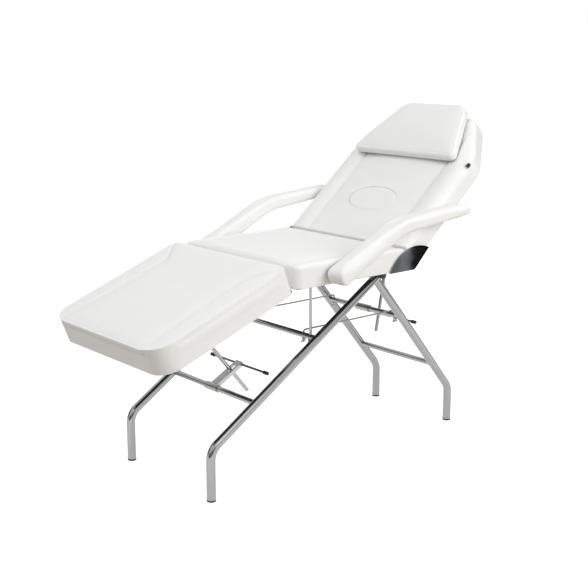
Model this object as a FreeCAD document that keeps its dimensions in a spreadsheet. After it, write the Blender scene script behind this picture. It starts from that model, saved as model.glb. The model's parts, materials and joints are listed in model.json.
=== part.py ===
import FreeCAD, Part
import math
import os
from FreeCAD import Placement, Rotation, Vector

# Beauty treatment chair: three upholstered sections on two bent-tube leg frames.
# X runs across the chair, Y from the foot end to the head end, Z up from the floor.
# Heights are above the floor, and lengthwise places are counted from the front feet.

doc = FreeCAD.newDocument("TreatmentChair")
sheet = doc.addObject("Spreadsheet::Sheet", "Sizes")

# Driving dimensions, in millimetres and degrees
DRIVING = [
    ("origin_y", 541.68, "front feet to the middle of the chair's length"),
    ("overrun", 5.0, "how far a cutting shape runs past what it cuts"),
    ("section_ease", 2.0, "how far a cushion's sections run past its plan"),
    ("face_gap", 0.3, "gap kept between faces that lie against each other"),
    ("run_gap", 0.05, "radial clearance of a turning fit"),
    ("tube_d", 30.0, "leg tube, outside diameter"),
    ("tube_wall", 1.5, "leg tube, wall"),
    ("tube_bend", 62.0, "leg tube, bend radius on its centre line"),
    ("front_half", 235.0, "front legs, half distance between centre lines"),
    ("rear_half", 194.5, "rear legs, half distance between centre lines"),
    ("front_knee", 168.0, "front legs, height of the bend corner"),
    ("rear_foot_y", 1157.5, "rear feet behind the front feet"),
    ("rear_knee", 136.0, "rear legs, height of the bend corner"),
    ("apex_y", 734.5, "bolt through both legs, place"),
    ("apex_z", 640.0, "bolt through both legs, height"),
    ("bar_d", 20.0, "crossbar diameter"),
    ("bar_wall", 1.5, "crossbar wall"),
    ("front_low_z", 286.2, "front lower crossbar, height"),
    ("front_high_z", 456.0, "front upper crossbar, height"),
    ("rear_low_z", 243.0, "rear lower crossbar, height"),
    ("rear_high_z", 454.0, "rear upper crossbar, height"),
    ("cap_sole", 6.0, "foot cap, sole below the tube"),
    ("cap_stem", 22.0, "foot cap, stem inside the tube"),
    ("seat_under", 656.0, "underside of the seat"),
    ("seat_thick", 82.0, "seat thickness"),
    ("seat_front", 294.5, "front face of the seat"),
    ("seat_half", 313.0, "half width of the three sections"),
    ("board_thick", 12.0, "plywood boards, thickness"),
    ("board_inset", 9.0, "plywood boards, distance inside the upholstery"),
    ("plate_thick", 4.0, "bracket steel, thickness"),
    ("apex_plate_len", 92.0, "apex bracket, length"),
    ("apex_plate_in", 172.0, "apex bracket, inner edge from the middle"),
    ("apex_plate_out", 249.5, "apex bracket, outer edge from the middle"),
    ("lug_thick", 6.0, "apex bracket, lug between the legs"),
    ("lug_len", 40.0, "apex bracket, lug length"),
    ("lug_drop", 36.0, "apex bracket, lug height"),
    ("apex_bolt_d", 10.0, "apex bolt diameter"),
    ("apex_cap_d", 30.0, "apex bolt cover, diameter"),
    ("apex_cap_h", 11.0, "apex bolt cover, height"),
    ("apex_nut_d", 18.0, "apex nut, across corners"),
    ("apex_nut_h", 8.0, "apex nut, height"),
    ("tie_d", 6.0, "tie rod diameter"),
    ("tie_half", 165.0, "tie rods, distance from the middle"),
    ("tie_bend", 9.0, "tie rod bend radius"),
    ("tie_tail", 16.0, "tie rod end below its crossbar"),
    ("stay_d", 10.0, "seat stay diameter"),
    ("stay_half", 200.0, "seat stays, distance from the middle"),
    ("stay_tail", 17.0, "seat stay end below its crossbar"),
    ("stay_flange_d", 34.0, "seat stay flange diameter"),
    ("wing_nut_d", 13.0, "tie rod wing nut, hub diameter"),
    ("stay_nut_d", 19.0, "seat stay wing nut, hub diameter"),
    ("wing_nut_h", 9.0, "wing nut hub height"),
    ("wing_span", 28.0, "wing nut span"),
    ("wing_drop", 14.0, "wing nut, length of a wing"),
    ("wing_thick", 3.0, "wing nut, thickness of a wing"),
    ("wing_toe_share", 0.25, "wing nut, inner corner of a wing as a share of the span"),
    ("leg_hinge_drop", 6.0, "leg rest hinge below the undersides"),
    ("leg_gap_half", 2.5, "half gap between seat and leg rest"),
    ("leg_angle", 20.7, "leg rest, slope at rest"),
    ("leg_len", 536.0, "leg rest length"),
    ("leg_thick", 88.0, "leg rest thickness"),
    ("leg_crown", 6.0, "crown of the leg rest"),
    ("leg_corner", 76.0, "leg rest, plan radius of the foot corners"),
    ("small_corner", 26.0, "plan radius of the other corners"),
    ("crown", 9.0, "crown of the cushions"),
    ("edge_round", 17.0, "rounding of the upholstered edges"),
    ("draw_in", 4.0, "how far a cushion's sides are drawn in"),
    ("leaf_len", 40.0, "leg rest hinge leaf, length"),
    ("leaf_wide", 60.0, "leg rest hinge leaf, width"),
    ("leaf_thick", 3.0, "leg rest hinge leaf, thickness"),
    ("knuckle_d", 11.0, "leg rest hinge knuckle diameter"),
    ("hinge_pin_d", 6.0, "leg rest hinge pin diameter"),
    ("hinge_half", 190.0, "leg rest hinges, distance from the middle"),
    ("back_hinge_y", 798.0, "backrest hinge, place"),
    ("back_hinge_z", 700.0, "backrest hinge, height"),
    ("back_angle", 40.6, "backrest, slope at rest"),
    ("back_thick", 78.0, "backrest thickness"),
    ("back_face", 38.0, "backrest surface above its hinge"),
    ("back_gap_half", 2.0, "half gap between seat and backrest"),
    ("back_setback", 24.0, "slope of the meeting ends, set back at the top"),
    ("back_len", 660.0, "backrest length from its hinge"),
    ("back_straight", 450.0, "backrest, length before it narrows"),
    ("head_half", 186.0, "half width of the head end"),
    ("head_corner", 40.0, "plan radius of the head end"),
    ("panel_inset", 105.0, "middle panel of the backrest, from each edge"),
    ("seam_depth", 9.0, "depth of the seams beside the middle panel"),
    ("bolster", 5.0, "rise of the side bolsters over the seams' edges"),
    ("plate_gap", 0.4, "chrome hinge plate from the upholstery"),
    ("hinge_plate", 3.0, "chrome hinge plate, thickness"),
    ("plate_front", 92.0, "chrome plate, front tip before the hinge"),
    ("plate_rear", 100.0, "chrome plate, rear tip behind the hinge"),
    ("plate_rise", 27.0, "chrome plate, rear tip above the hinge"),
    ("plate_heel", 30.0, "chrome plate, lower rear corner behind the hinge"),
    ("plate_heel_round", 20.0, "chrome plate, radius of its lower rear corner"),
    ("plate_bulge", 41.0, "chrome plate, height of its arc over the chord"),
    ("plate_low", 44.0, "chrome plate, lower edge below the hinge"),
    ("back_pin_d", 10.0, "backrest hinge pin diameter"),
    ("hinge_arm_inset", 15.0, "backrest hinge arm, inner face from the edge"),
    ("hinge_arm_thick", 5.0, "backrest hinge arm, thickness"),
    ("hinge_arm_len", 120.0, "backrest hinge arm, length"),
    ("hinge_eye", 12.0, "backrest hinge arm, radius of its eye"),
    ("eye_room", 3.0, "room around the eye"),
    ("flange_wide", 36.0, "flange width of rails and hinge arms"),
    ("rail_front", 405.0, "side rail, front end"),
    ("rail_rear", 778.0, "side rail, rear end"),
    ("rail_tall", 46.0, "side rail, height"),
    ("rail_inset", 14.0, "side rail, inner face from the edge"),
    ("screw_d", 6.0, "hinge plate stud diameter"),
    ("screw_step", 30.0, "hinge plate studs, distance apart"),
    ("screw_first", 38.0, "first hinge plate stud before the hinge"),
    ("screw_z", 686.0, "hinge plate studs, height"),
    ("arm_gap", 7.0, "armrest, gap beside the seat"),
    ("arm_wide", 74.0, "armrest width"),
    ("arm_pivot_y", 440.0, "armrest pivot, place"),
    ("arm_pivot_z", 694.0, "armrest pivot, height"),
    ("arm_end", 30.0, "armrest, half height at the pivot"),
    ("arm_low_len", 294.0, "armrest, pivot to bend"),
    ("arm_low_angle", 26.5, "armrest, slope of the lower stretch"),
    ("arm_fore_len", 332.0, "armrest, bend to tip"),
    ("arm_fore_angle", 5.5, "armrest, slope of the upper stretch"),
    ("arm_bend_half", 22.0, "armrest, half thickness at the bend"),
    ("arm_tip_half", 17.0, "armrest, half thickness at the tip"),
    ("arm_tip_round", 13.0, "armrest, radius of the tip"),
    ("arm_end_round", 25.0, "armrest, radius of the end at the pivot"),
    ("arm_bend_round", 220.0, "armrest, radius of the bend"),
    ("arm_edge", 11.0, "armrest, rounding along its edges"),
    ("arm_bolt_d", 10.0, "armrest pivot bolt diameter"),
    ("arm_bolt_in", 44.0, "armrest pivot bolt, length inside the armrest"),
    ("arm_washer_d", 30.0, "armrest pivot shoulder diameter"),
    ("strut_d", 13.0, "locking strut diameter"),
    ("strut_eye", 9.0, "locking strut beyond its pin"),
    ("strut_pin_d", 8.0, "locking strut pin diameter"),
    ("clevis_drop", 23.0, "strut pin below the board it hangs from"),
    ("clevis_wide", 26.0, "strut bracket, width over its ears"),
    ("clevis_len", 60.0, "strut bracket, length of its plate"),
    ("clevis_ear", 3.0, "strut bracket, thickness"),
    ("clevis_ear_len", 24.0, "strut bracket, length of its ears"),
    ("clevis_ear_over", 10.0, "strut bracket, ears past the pin"),
    ("back_strut_at", 278.0, "backrest hinge to strut pin"),
    ("back_strut_len", 492.0, "backrest strut, pin to lower end"),
    ("leg_strut_at", 235.0, "leg rest hinge to strut pin"),
    ("leg_strut_len", 398.0, "leg rest strut, pin to lower end"),
    ("back_lock_angle", -22.4, "backrest lock arm, slope at rest"),
    ("leg_lock_angle", 28.5, "leg rest lock arm, slope at rest"),
    ("lock_hole_at", 88.0, "lock arm, crossbar to strut"),
    ("lock_handle_at", 127.0, "lock arm, crossbar to handle"),
    ("lock_len", 134.0, "lock arm, crossbar to its end"),
    ("lock_wide", 36.0, "lock arm width"),
    ("lock_tall", 13.0, "lock arm height"),
    ("lock_wall", 2.5, "lock arm, sheet thickness"),
    ("slot_wide", 14.2, "lock arm, slot width"),
    ("back_slot_in", 16.0, "backrest lock arm, slot from the strut to the crossbar side"),
    ("back_slot_out", 11.5, "backrest lock arm, slot from the strut to the handle side"),
    ("leg_slot_in", 11.5, "leg rest lock arm, slot from the strut to the crossbar side"),
    ("leg_slot_out", 22.5, "leg rest lock arm, slot from the strut to the handle side"),
    ("sleeve_d", 27.0, "lock sleeve diameter"),
    ("sleeve_len", 66.0, "lock sleeve length"),
    ("handle_d", 8.0, "handle rod diameter"),
    ("handle_half", 150.0, "handle rod, half length"),
    ("tip_d", 13.0, "handle tip diameter"),
    ("tip_len", 24.0, "handle tip length"),
    ("tip_cover", 14.0, "handle tip, length over the rod"),
    ("tip_round_share", 0.25, "handle tip, rounding as a share of its diameter"),
    ("plug_half_x", 118.0, "face-hole plug, half width"),
    ("plug_half_y", 60.0, "face-hole plug, half length"),
    ("plug_at", 205.0, "face-hole plug, centre from the hinge"),
    ("plug_gap", 0.8, "face-hole plug, gap around it"),
    ("plug_rise", 2.0, "face-hole plug, crown over the backrest"),
    ("plug_dome_share", 6.0, "face-hole plug, radius of its crown as a share of its half width"),
    ("pillow_low", 418.0, "pillow, lower edge from the hinge"),
    ("pillow_len", 254.0, "pillow length"),
    ("pillow_low_half", 264.0, "pillow, half width of its lower edge"),
    ("pillow_top_half", 152.0, "pillow, half width of its upper edge"),
    ("pillow_thick", 44.0, "pillow thickness"),
    ("pillow_corner", 34.0, "pillow, plan radius of its corners"),
    ("pillow_lift", 6.5, "pillow base over the backrest surface"),
    ("grip_half", 60.0, "fastening strip of the pillow, half width"),
    ("grip_len", 120.0, "fastening strip of the pillow, length"),
    ("tag_wide", 17.0, "tag width"),
    ("tag_tall", 13.0, "tag height"),
    ("tag_thick", 2.0, "tag thickness"),
    ("tag_at", 415.0, "tag, distance from the hinge"),
    ("tag_lean", 45.0, "tag, lean on the rounded edge"),
    ("tag_proud", 2.2, "tag, outer face over the rounded edge"),
]
for row, (alias, number, note) in enumerate(DRIVING, start=1):
    sheet.set("A" + str(row), note)
    sheet.set("B" + str(row), str(number))
    sheet.setAlias("B" + str(row), alias)
doc.recompute()


def size(alias):
    return float(sheet.get(alias))


ACROSS = Vector(1, 0, 0)
UP = Vector(0, 0, 1)
UPRIGHT = Rotation()
SIDEWAYS = Rotation(Vector(0, 1, 0), 90)
SIDES = (("left", 1), ("right", -1))


def at(x, y, z):
    return Vector(x, y - size("origin_y"), z)


def turn(angle):
    return Rotation(ACROSS, angle)


def away(start, length, angle):
    """The point of the side view that lies a length from start at a slope."""
    slope = math.radians(angle)
    return (start[0] + length * math.cos(slope), start[1] + length * math.sin(slope))


# Ways of making a piece

def solid(label, shape, place=None):
    piece = doc.addObject("Part::Feature", label)
    piece.Label = label
    piece.Shape = shape
    if place is not None:
        piece.Placement = place
    return piece


def bar_piece(label, radius, length, place):
    bar = doc.addObject("Part::Cylinder", label)
    bar.Label = label
    bar.setExpression("Radius", radius)
    bar.setExpression("Height", length)
    bar.Placement = place
    return bar


def block_piece(label, length, width, height, place):
    block = doc.addObject("Part::Box", label)
    block.Label = label
    block.setExpression("Length", length)
    block.setExpression("Width", width)
    block.setExpression("Height", height)
    block.Placement = place
    return block


def cut_piece(label, base, tool):
    result = doc.addObject("Part::Cut", label)
    result.Label = label
    result.Base = base
    result.Tool = tool
    return result


def fused_piece(label, pieces):
    result = doc.addObject("Part::MultiFuse", label)
    result.Label = label
    result.Shapes = pieces
    return result


def rod(radius, start, end):
    """A round rod between two points."""
    line = end - start
    return Part.makeCylinder(radius, line.Length, start, line)


def box(low, high):
    """A block between two opposite corners."""
    span = high - low
    return Part.makeBox(span.x, span.y, span.z, low)


def outline(points, rounds, draws, lift):
    """A closed outline with rounded corners, whose sides may be drawn in; lift places it in space."""
    count = len(points)
    corners = []
    for index in range(count):
        here = Vector(points[index][0], points[index][1], 0)
        before = Vector(points[index - 1][0], points[index - 1][1], 0) - here
        after = Vector(points[(index + 1) % count][0], points[(index + 1) % count][1], 0) - here
        half = before.getAngle(after) / 2
        before.normalize()
        after.normalize()
        middle = before + after
        middle.normalize()
        reach = rounds[index] / math.tan(half)
        near = rounds[index] / math.sin(half) - rounds[index]
        corners.append((here + before * reach, here + middle * near, here + after * reach))
    edges = []
    for index in range(count):
        start, peak, end = corners[index]
        if rounds[index] > 0:
            edges.append(Part.Arc(lift(start), lift(peak), lift(end)).toShape())
        following = corners[(index + 1) % count][0]
        along = following - end
        if draws[index] == 0:
            edges.append(Part.LineSegment(lift(end), lift(following)).toShape())
        else:
            aside = Vector(-along.y, along.x, 0)
            aside.normalize()
            bend = (end + following) * 0.5 + aside * draws[index]
            edges.append(Part.Arc(lift(end), lift(bend), lift(following)).toShape())
    return Part.Face(Part.Wire(edges))


def plan(points, rounds, draws, low, high):
    """An upright solid on a plan outline given anticlockwise in X and Y."""
    face = outline(points, rounds, draws, lambda p: Vector(p.x, p.y, low))
    return face.extrude(UP * (high - low))


def side_view(points, rounds, draws, left, right):
    """A solid across the chair on an outline given in Y and Z."""
    face = outline(points, rounds, draws, lambda p: Vector(left, p.x, p.y))
    return face.extrude(ACROSS * (right - left))


def bent_tube(points, radius, bend):
    """A round tube along points of one plane, with rounded bends."""
    edges = []
    start = points[0]
    for index in range(1, len(points) - 1):
        here = points[index]
        before = points[index - 1] - here
        after = points[index + 1] - here
        half = before.getAngle(after) / 2
        before.normalize()
        after.normalize()
        middle = before + after
        middle.normalize()
        reach = bend / math.tan(half)
        near = bend / math.sin(half) - bend
        edges.append(Part.LineSegment(start, here + before * reach).toShape())
        bow = Part.Arc(here + before * reach, here + middle * near, here + after * reach)
        edges.append(bow.toShape())
        start = here + after * reach
    edges.append(Part.LineSegment(start, points[-1]).toShape())
    ring = Part.Wire(Part.makeCircle(radius, points[0], points[1] - points[0]))
    return Part.Wire(edges).makePipeShell([ring], True, False)


# Places that several pieces share
seat_top = size("seat_under") + size("seat_thick")
front_slope = math.degrees(math.atan2(size("apex_z") - size("front_knee"), size("apex_y")))
rear_run = size("rear_foot_y") - size("apex_y")
rear_slope = math.degrees(math.atan2(size("apex_z") - size("rear_knee"), rear_run))


def front_leg_y(height):
    return (height - size("front_knee")) / math.tan(math.radians(front_slope))


def rear_leg_y(height):
    return size("rear_foot_y") - (height - size("rear_knee")) / math.tan(math.radians(rear_slope))


front_low = (front_leg_y(size("front_low_z")), size("front_low_z"))
front_high = (front_leg_y(size("front_high_z")), size("front_high_z"))
rear_low = (rear_leg_y(size("rear_low_z")), size("rear_low_z"))
rear_high = (rear_leg_y(size("rear_high_z")), size("rear_high_z"))
leg_hinge = (size("seat_front") - size("leg_gap_half"), size("seat_under") - size("leg_hinge_drop"))
back_hinge = (size("back_hinge_y"), size("back_hinge_z"))
back_under = size("back_face") - size("back_thick")
apex_plate_under = size("seat_under") - size("plate_thick")
panel_half = size("seat_half") - size("panel_inset")
hinge_arm_in = size("seat_half") - size("hinge_arm_inset")
rail_in = size("seat_half") - size("rail_inset")
arm_in = size("seat_half") + size("arm_gap")


def on_back(along, above):
    """A point of the side view, given along the backrest from its hinge and above the hinge."""
    return away(away(back_hinge, along, size("back_angle")), above, size("back_angle") + 90)


def on_leg(along, above):
    """A point of the side view, given along the leg rest from its hinge and above the hinge."""
    return away(away(leg_hinge, along, size("leg_angle") + 180), above, size("leg_angle") + 90)


back_strut_pin = on_back(size("back_strut_at"), back_under - size("clevis_drop"))
leg_strut_pin = on_leg(size("leg_strut_at"), size("leg_hinge_drop") - size("clevis_drop"))
back_place = Placement(at(0, *back_hinge), turn(size("back_angle")))
leg_place = Placement(at(0, *leg_hinge), turn(size("leg_angle")))

# Leg frames: a bent tube for each leg, cut level under its apex bracket, and four crossbars
tube_r = size("tube_d") / 2
bar_r = size("bar_d") / 2
high = size("seat_under") + size("tube_d")


def leg_tube(x, foot_y, knee, radius):
    top = front_leg_y(high) if foot_y == 0 else rear_leg_y(high)
    low = 0 if radius < tube_r else size("cap_sole")
    path = [at(x, foot_y, low), at(x, foot_y, knee), at(x, top, high)]
    tube = bent_tube(path, radius, size("tube_bend"))
    roof = box(at(x - size("tube_d"), 0, apex_plate_under), at(x + size("tube_d"), size("rear_foot_y"), high * 2))
    return tube.cut(roof)


leg_solids = {}
for side, sign in SIDES:
    for frame, half, foot_y, knee in (
        ("front", "front_half", 0, "front_knee"),
        ("rear", "rear_half", size("rear_foot_y"), "rear_knee"),
    ):
        x = sign * size(half)
        outer = leg_tube(x, foot_y, size(knee), tube_r)
        inner = leg_tube(x, foot_y, size(knee), tube_r - size("tube_wall"))
        reach = ACROSS * size("tube_d")
        bolt_mid = at(x, size("apex_y"), size("apex_z"))
        bolt_hole = rod(size("apex_bolt_d") / 2, bolt_mid - reach, bolt_mid + reach)
        leg_solids[frame + side] = outer
        solid(frame + "_leg_" + side, outer.cut(inner).cut(bolt_hole))

for name, frame, half, spot, rods in (
    ("front_lower_crossbar", "front", "front_half", front_low, False),
    ("front_upper_crossbar", "front", "front_half", front_high, True),
    ("rear_lower_crossbar", "rear", "rear_half", rear_low, False),
    ("rear_upper_crossbar", "rear", "rear_half", rear_high, True),
):
    ends = (at(-size(half), *spot), at(size(half), *spot))
    bar = rod(bar_r, *ends).cut(rod(bar_r - size("bar_wall"), *ends))
    for side, sign in SIDES:
        bar = bar.cut(leg_solids[frame + side])
        if rods:
            middle = at(sign * size("tie_half"), *spot)
            bar = bar.cut(rod(size("tie_d") / 2, middle - UP * size("bar_d"), middle + UP * size("bar_d")))
        if rods and frame == "front":
            middle = at(sign * size("stay_half"), *spot)
            bar = bar.cut(rod(size("stay_d") / 2, middle - UP * size("bar_d"), middle + UP * size("bar_d")))
    solid(name, bar)

caps = []
for sign in (1, -1):
    for half, foot_y in (("front_half", 0), ("rear_half", size("rear_foot_y"))):
        foot = at(sign * size(half), foot_y, 0)
        stem = Part.makeCylinder(tube_r - size("tube_wall"), size("cap_stem"), foot + UP * size("cap_sole"))
        caps.append(Part.makeCylinder(tube_r, size("cap_sole"), foot).fuse(stem))
solid("foot_caps", Part.makeCompound(caps))

# Apex: a steel bracket under the seat, with a lug between the front and the rear leg, and one bolt
lug_mid = (size("front_half") + size("rear_half")) / 2
bolts = []
covers = []
nuts = []
for side, sign in SIDES:
    low_x, high_x = sorted((sign * size("apex_plate_in"), sign * size("apex_plate_out")))
    front = size("apex_y") - size("apex_plate_len") / 2
    plate = block_piece(
        "apex_plate_" + side,
        "Sizes.apex_plate_out - Sizes.apex_plate_in",
        "Sizes.apex_plate_len",
        "Sizes.plate_thick",
        Placement(at(low_x, front, apex_plate_under), UPRIGHT),
    )
    lug_x = sign * lug_mid - size("lug_thick") / 2
    lug_y = size("apex_y") - size("lug_len") / 2
    lug = block_piece(
        "apex_lug_" + side,
        "Sizes.lug_thick",
        "Sizes.lug_len",
        "Sizes.lug_drop",
        Placement(at(lug_x, lug_y, apex_plate_under - size("lug_drop")), UPRIGHT),
    )
    hole = bar_piece(
        "apex_hole_" + side,
        "Sizes.apex_bolt_d / 2",
        "2 * Sizes.lug_thick",
        Placement(at(lug_x - size("lug_thick") / 2, size("apex_y"), size("apex_z")), SIDEWAYS),
    )
    cut_piece("apex_bracket_" + side, fused_piece("apex_steel_" + side, [plate, lug]), hole)
    outer = at(sign * (size("front_half") + tube_r), size("apex_y"), size("apex_z"))
    inner = at(sign * (size("rear_half") - tube_r), size("apex_y"), size("apex_z"))
    outward = ACROSS * sign
    nut_end = inner - outward * size("apex_nut_h")
    shank = rod(size("apex_bolt_d") / 2, nut_end, outer + outward * (size("apex_cap_h") / 2))
    bolts.append(shank)
    crown = Part.makeSphere(size("apex_cap_d"), outer - outward * (size("apex_cap_d") - size("apex_cap_h")))
    drum = rod(size("apex_cap_d") / 2, outer, outer + outward * size("apex_cap_h"))
    covers.append(drum.common(crown).cut(shank))
    ring = [
        nut_end + Rotation(ACROSS, 60 * step).multVec(UP * (size("apex_nut_d") / 2)) for step in range(7)
    ]
    nuts.append(Part.Face(Part.makePolygon(ring)).extrude(outward * size("apex_nut_h")).cut(shank))
solid("apex_bolts", Part.makeCompound(bolts))
solid("apex_bolt_covers", Part.makeCompound(covers))
solid("apex_nuts", Part.makeCompound(nuts))


# Tie rods between the upper crossbars and seat stays over the front one, held by wing nuts
def wing_nut(top, diameter, hub_diameter):
    hub = Part.makeCylinder(hub_diameter / 2, size("wing_nut_h"), top, -UP)
    wing = side_view(
        [
            (0, 0),
            (size("wing_span") / 2, -size("wing_drop")),
            (size("wing_span") * size("wing_toe_share"), -size("wing_drop")),
            (0, -size("wing_nut_h")),
        ],
        [0, size("wing_thick") / 2, 0, 0],
        [0, 0, 0, 0],
        -size("wing_thick") / 2,
        size("wing_thick") / 2,
    )
    wing.translate(top)
    other = wing.copy()
    other.rotate(top, UP, 180)
    bore = Part.makeCylinder(diameter / 2, size("wing_drop") * 2, top + UP * size("overrun"), -UP)
    return hub.fuse([wing, other]).cut(bore)


tie_nuts = []
stay_nuts = []
for side, sign in SIDES:
    x = sign * size("tie_half")
    over = size("front_high_z") + bar_r + size("tie_d") / 2 + size("face_gap")
    front_end = front_high[1] - bar_r - size("tie_tail")
    rear_end = rear_high[1] - bar_r - size("tie_tail")
    path = [
        at(x, front_high[0], front_end),
        at(x, front_high[0], over + size("tie_bend") / 2),
        at(x, rear_high[0], over + size("tie_bend") / 2),
        at(x, rear_high[0], rear_end),
    ]
    solid("tie_rod_" + side, bent_tube(path, size("tie_d") / 2, size("tie_bend")))
    for spot in (front_high, rear_high):
        top = at(x, spot[0], spot[1] - bar_r - size("face_gap"))
        tie_nuts.append(wing_nut(top, size("tie_d"), size("wing_nut_d")))
    x = sign * size("stay_half")
    shank = bar_piece(
        "stay_shank_" + side,
        "Sizes.stay_d / 2",
        "Sizes.seat_under - Sizes.front_high_z + Sizes.bar_d / 2 + Sizes.stay_tail",
        Placement(at(x, front_high[0], front_high[1] - bar_r - size("stay_tail")), UPRIGHT),
    )
    flange = bar_piece(
        "stay_flange_" + side,
        "Sizes.stay_flange_d / 2",
        "Sizes.plate_thick",
        Placement(at(x, front_high[0], apex_plate_under), UPRIGHT),
    )
    fused_piece("seat_stay_" + side, [shank, flange])
    top = at(x, front_high[0], front_high[1] - bar_r - size("face_gap"))
    stay_nuts.append(wing_nut(top, size("stay_d"), size("stay_nut_d")))
solid("tie_rod_wing_nuts", Part.makeCompound(tie_nuts))
solid("seat_stay_wing_nuts", Part.makeCompound(stay_nuts))

# Chrome hinge plates: a fan outside the upholstery, with the hinge pin of the backrest and two studs,
# all ground flush with its face
plate_in = size("seat_half") + size("plate_gap")
plate_out = plate_in + size("hinge_plate")
front_tip = (-size("plate_front"), -size("plate_low"))
rear_tip = (size("plate_rear"), size("plate_rise"))
heel = (size("plate_heel"), -size("plate_low"))
pins = []
screws = []
arm_bolts = []
eye_rods = []
for side, sign in SIDES:
    hinge_mid = at(0, *back_hinge)
    fan = side_view(
        [front_tip, heel, rear_tip],
        [0, size("plate_heel_round"), 0],
        [0, 0, -size("plate_bulge")],
        min(sign * plate_in, sign * plate_out),
        max(sign * plate_in, sign * plate_out),
    )
    fan.translate(hinge_mid)
    inner = hinge_mid + ACROSS * (sign * (hinge_arm_in - size("face_gap")))
    outer = hinge_mid + ACROSS * (sign * plate_out)
    outward = ACROSS * sign
    shank = rod(size("back_pin_d") / 2, inner, outer)
    pins.append(shank)
    eye_rods.append(
        rod(size("hinge_eye") + size("eye_room"), inner - outward * size("eye_room"), outer)
    )
    fan = fan.cut(shank)
    for step in range(2):
        y = size("back_hinge_y") - size("screw_first") - step * size("screw_step")
        deep = at(sign * rail_in, y, size("screw_z"))
        face = at(sign * plate_out, y, size("screw_z"))
        stem = rod(size("screw_d") / 2, deep, face)
        screws.append(stem)
        fan = fan.cut(stem)
    solid("hinge_plate_" + side, fan)
    pivot = at(0, size("arm_pivot_y"), size("arm_pivot_z"))
    bolt = rod(
        size("arm_bolt_d") / 2,
        pivot + ACROSS * (sign * rail_in),
        pivot + ACROSS * (sign * (arm_in + size("arm_bolt_in"))),
    )
    shoulder = rod(
        size("arm_washer_d") / 2,
        pivot + ACROSS * (sign * (size("seat_half") + size("face_gap"))),
        pivot + ACROSS * (sign * (arm_in - size("face_gap"))),
    )
    arm_bolts.append(bolt.fuse(shoulder))
solid("back_hinge_pins", Part.makeCompound(pins))
solid("hinge_plate_screws", Part.makeCompound(screws))
solid("armrest_pivot_bolts", Part.makeCompound(arm_bolts))

# Seat: plywood board, steel side rails on it, and the cushion wrapped around them
board_top = size("seat_under") + size("board_thick")
seat_rear = size("back_hinge_y") - size("back_gap_half")
board_half = size("seat_half") - size("board_inset")
block_piece(
    "seat_board",
    "2 * (Sizes.seat_half - Sizes.board_inset)",
    "Sizes.back_hinge_y - Sizes.back_gap_half - Sizes.seat_front - 2 * Sizes.board_inset",
    "Sizes.board_thick",
    Placement(at(-board_half, size("seat_front") + size("board_inset"), size("seat_under")), UPRIGHT),
)
rails = []
for side, sign in SIDES:
    rail_out = rail_in + size("plate_thick")
    low_x, high_x = sorted((sign * rail_in, sign * rail_out))
    wall = box(
        at(low_x, size("rail_front"), board_top),
        at(high_x, size("rail_rear"), board_top + size("rail_tall")),
    )
    low_x, high_x = sorted((sign * (rail_out - size("flange_wide")), sign * rail_out))
    foot = box(
        at(low_x, size("rail_front"), board_top),
        at(high_x, size("rail_rear"), board_top + size("plate_thick")),
    )
    rail = wall.fuse(foot).cut(Part.makeCompound(screws + arm_bolts))
    rails.append(rail)
    solid("side_rail_" + side, rail)


def crowned(half, low, top, crown, panel, along_low, along_high):
    """A cushion's cross section, run along its length: rounded edges and a crown, or a middle panel."""
    soft = size("edge_round")
    shoulder = top - crown
    rim = half - soft

    past = size("overrun")

    def spot(x, z):
        return Vector(x, along_low - past, z)

    edges = [Part.LineSegment(spot(-half, shoulder - soft), spot(-half, low)).toShape()]
    edges.append(Part.LineSegment(spot(-half, low), spot(half, low)).toShape())
    edges.append(Part.LineSegment(spot(half, low), spot(half, shoulder - soft)).toShape())
    bow = soft * math.sqrt(2) / 2
    edges.append(
        Part.Arc(
            spot(half, shoulder - soft), spot(rim + bow, shoulder - soft + bow), spot(rim, shoulder)
        ).toShape()
    )
    if panel:
        seam = top - size("seam_depth")
        mid = (rim + panel) / 2
        edges.append(
            Part.Arc(spot(rim, shoulder), spot(mid, shoulder + size("bolster")), spot(panel, seam)).toShape()
        )
        edges.append(Part.Arc(spot(panel, seam), spot(0, top), spot(-panel, seam)).toShape())
        edges.append(
            Part.Arc(spot(-panel, seam), spot(-mid, shoulder + size("bolster")), spot(-rim, shoulder)).toShape()
        )
    else:
        edges.append(Part.Arc(spot(rim, shoulder), spot(0, top), spot(-rim, shoulder)).toShape())
    edges.append(
        Part.Arc(
            spot(-rim, shoulder), spot(-rim - bow, shoulder - soft + bow), spot(-half, shoulder - soft)
        ).toShape()
    )
    return Part.Face(Part.Wire(edges)).extrude(Vector(0, along_high - along_low + 2 * past, 0))


half = size("seat_half")
section_half = half + size("section_ease")
front = size("seat_front") - size("origin_y")
rear = seat_rear - size("origin_y")
rear_past = rear + size("overrun")
seat_plan = plan(
    [(-half, front), (half, front), (half, rear_past), (-half, rear_past)],
    [size("small_corner"), size("small_corner"), 0, 0],
    [size("draw_in") / 2, size("draw_in"), 0, size("draw_in")],
    size("seat_under") - size("overrun"),
    seat_top + size("overrun"),
)
front_past = front - size("section_ease")
seat_side = side_view(
    [
        (front_past, size("seat_under")),
        (rear, size("seat_under")),
        (rear, size("back_hinge_z")),
        (rear - size("back_setback"), seat_top),
        (front_past, seat_top),
    ],
    [0, 0, 0, 0, size("edge_round")],
    [0, 0, 0, 0, 0],
    -half - size("overrun"),
    half + size("overrun"),
)
seat_low = size("seat_under") - size("overrun")
seat_form = crowned(section_half, seat_low, seat_top, size("crown"), 0, front, rear)
seat_form = seat_form.common(seat_plan).common(seat_side)
inside = box(
    at(-board_half, size("seat_front") + size("board_inset"), size("seat_under")),
    at(board_half, seat_rear - size("board_inset"), board_top),
)
for pocket in [inside] + rails + screws + arm_bolts + eye_rods:
    seat_form = seat_form.cut(pocket)
solid("seat_cushion", seat_form)

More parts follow.
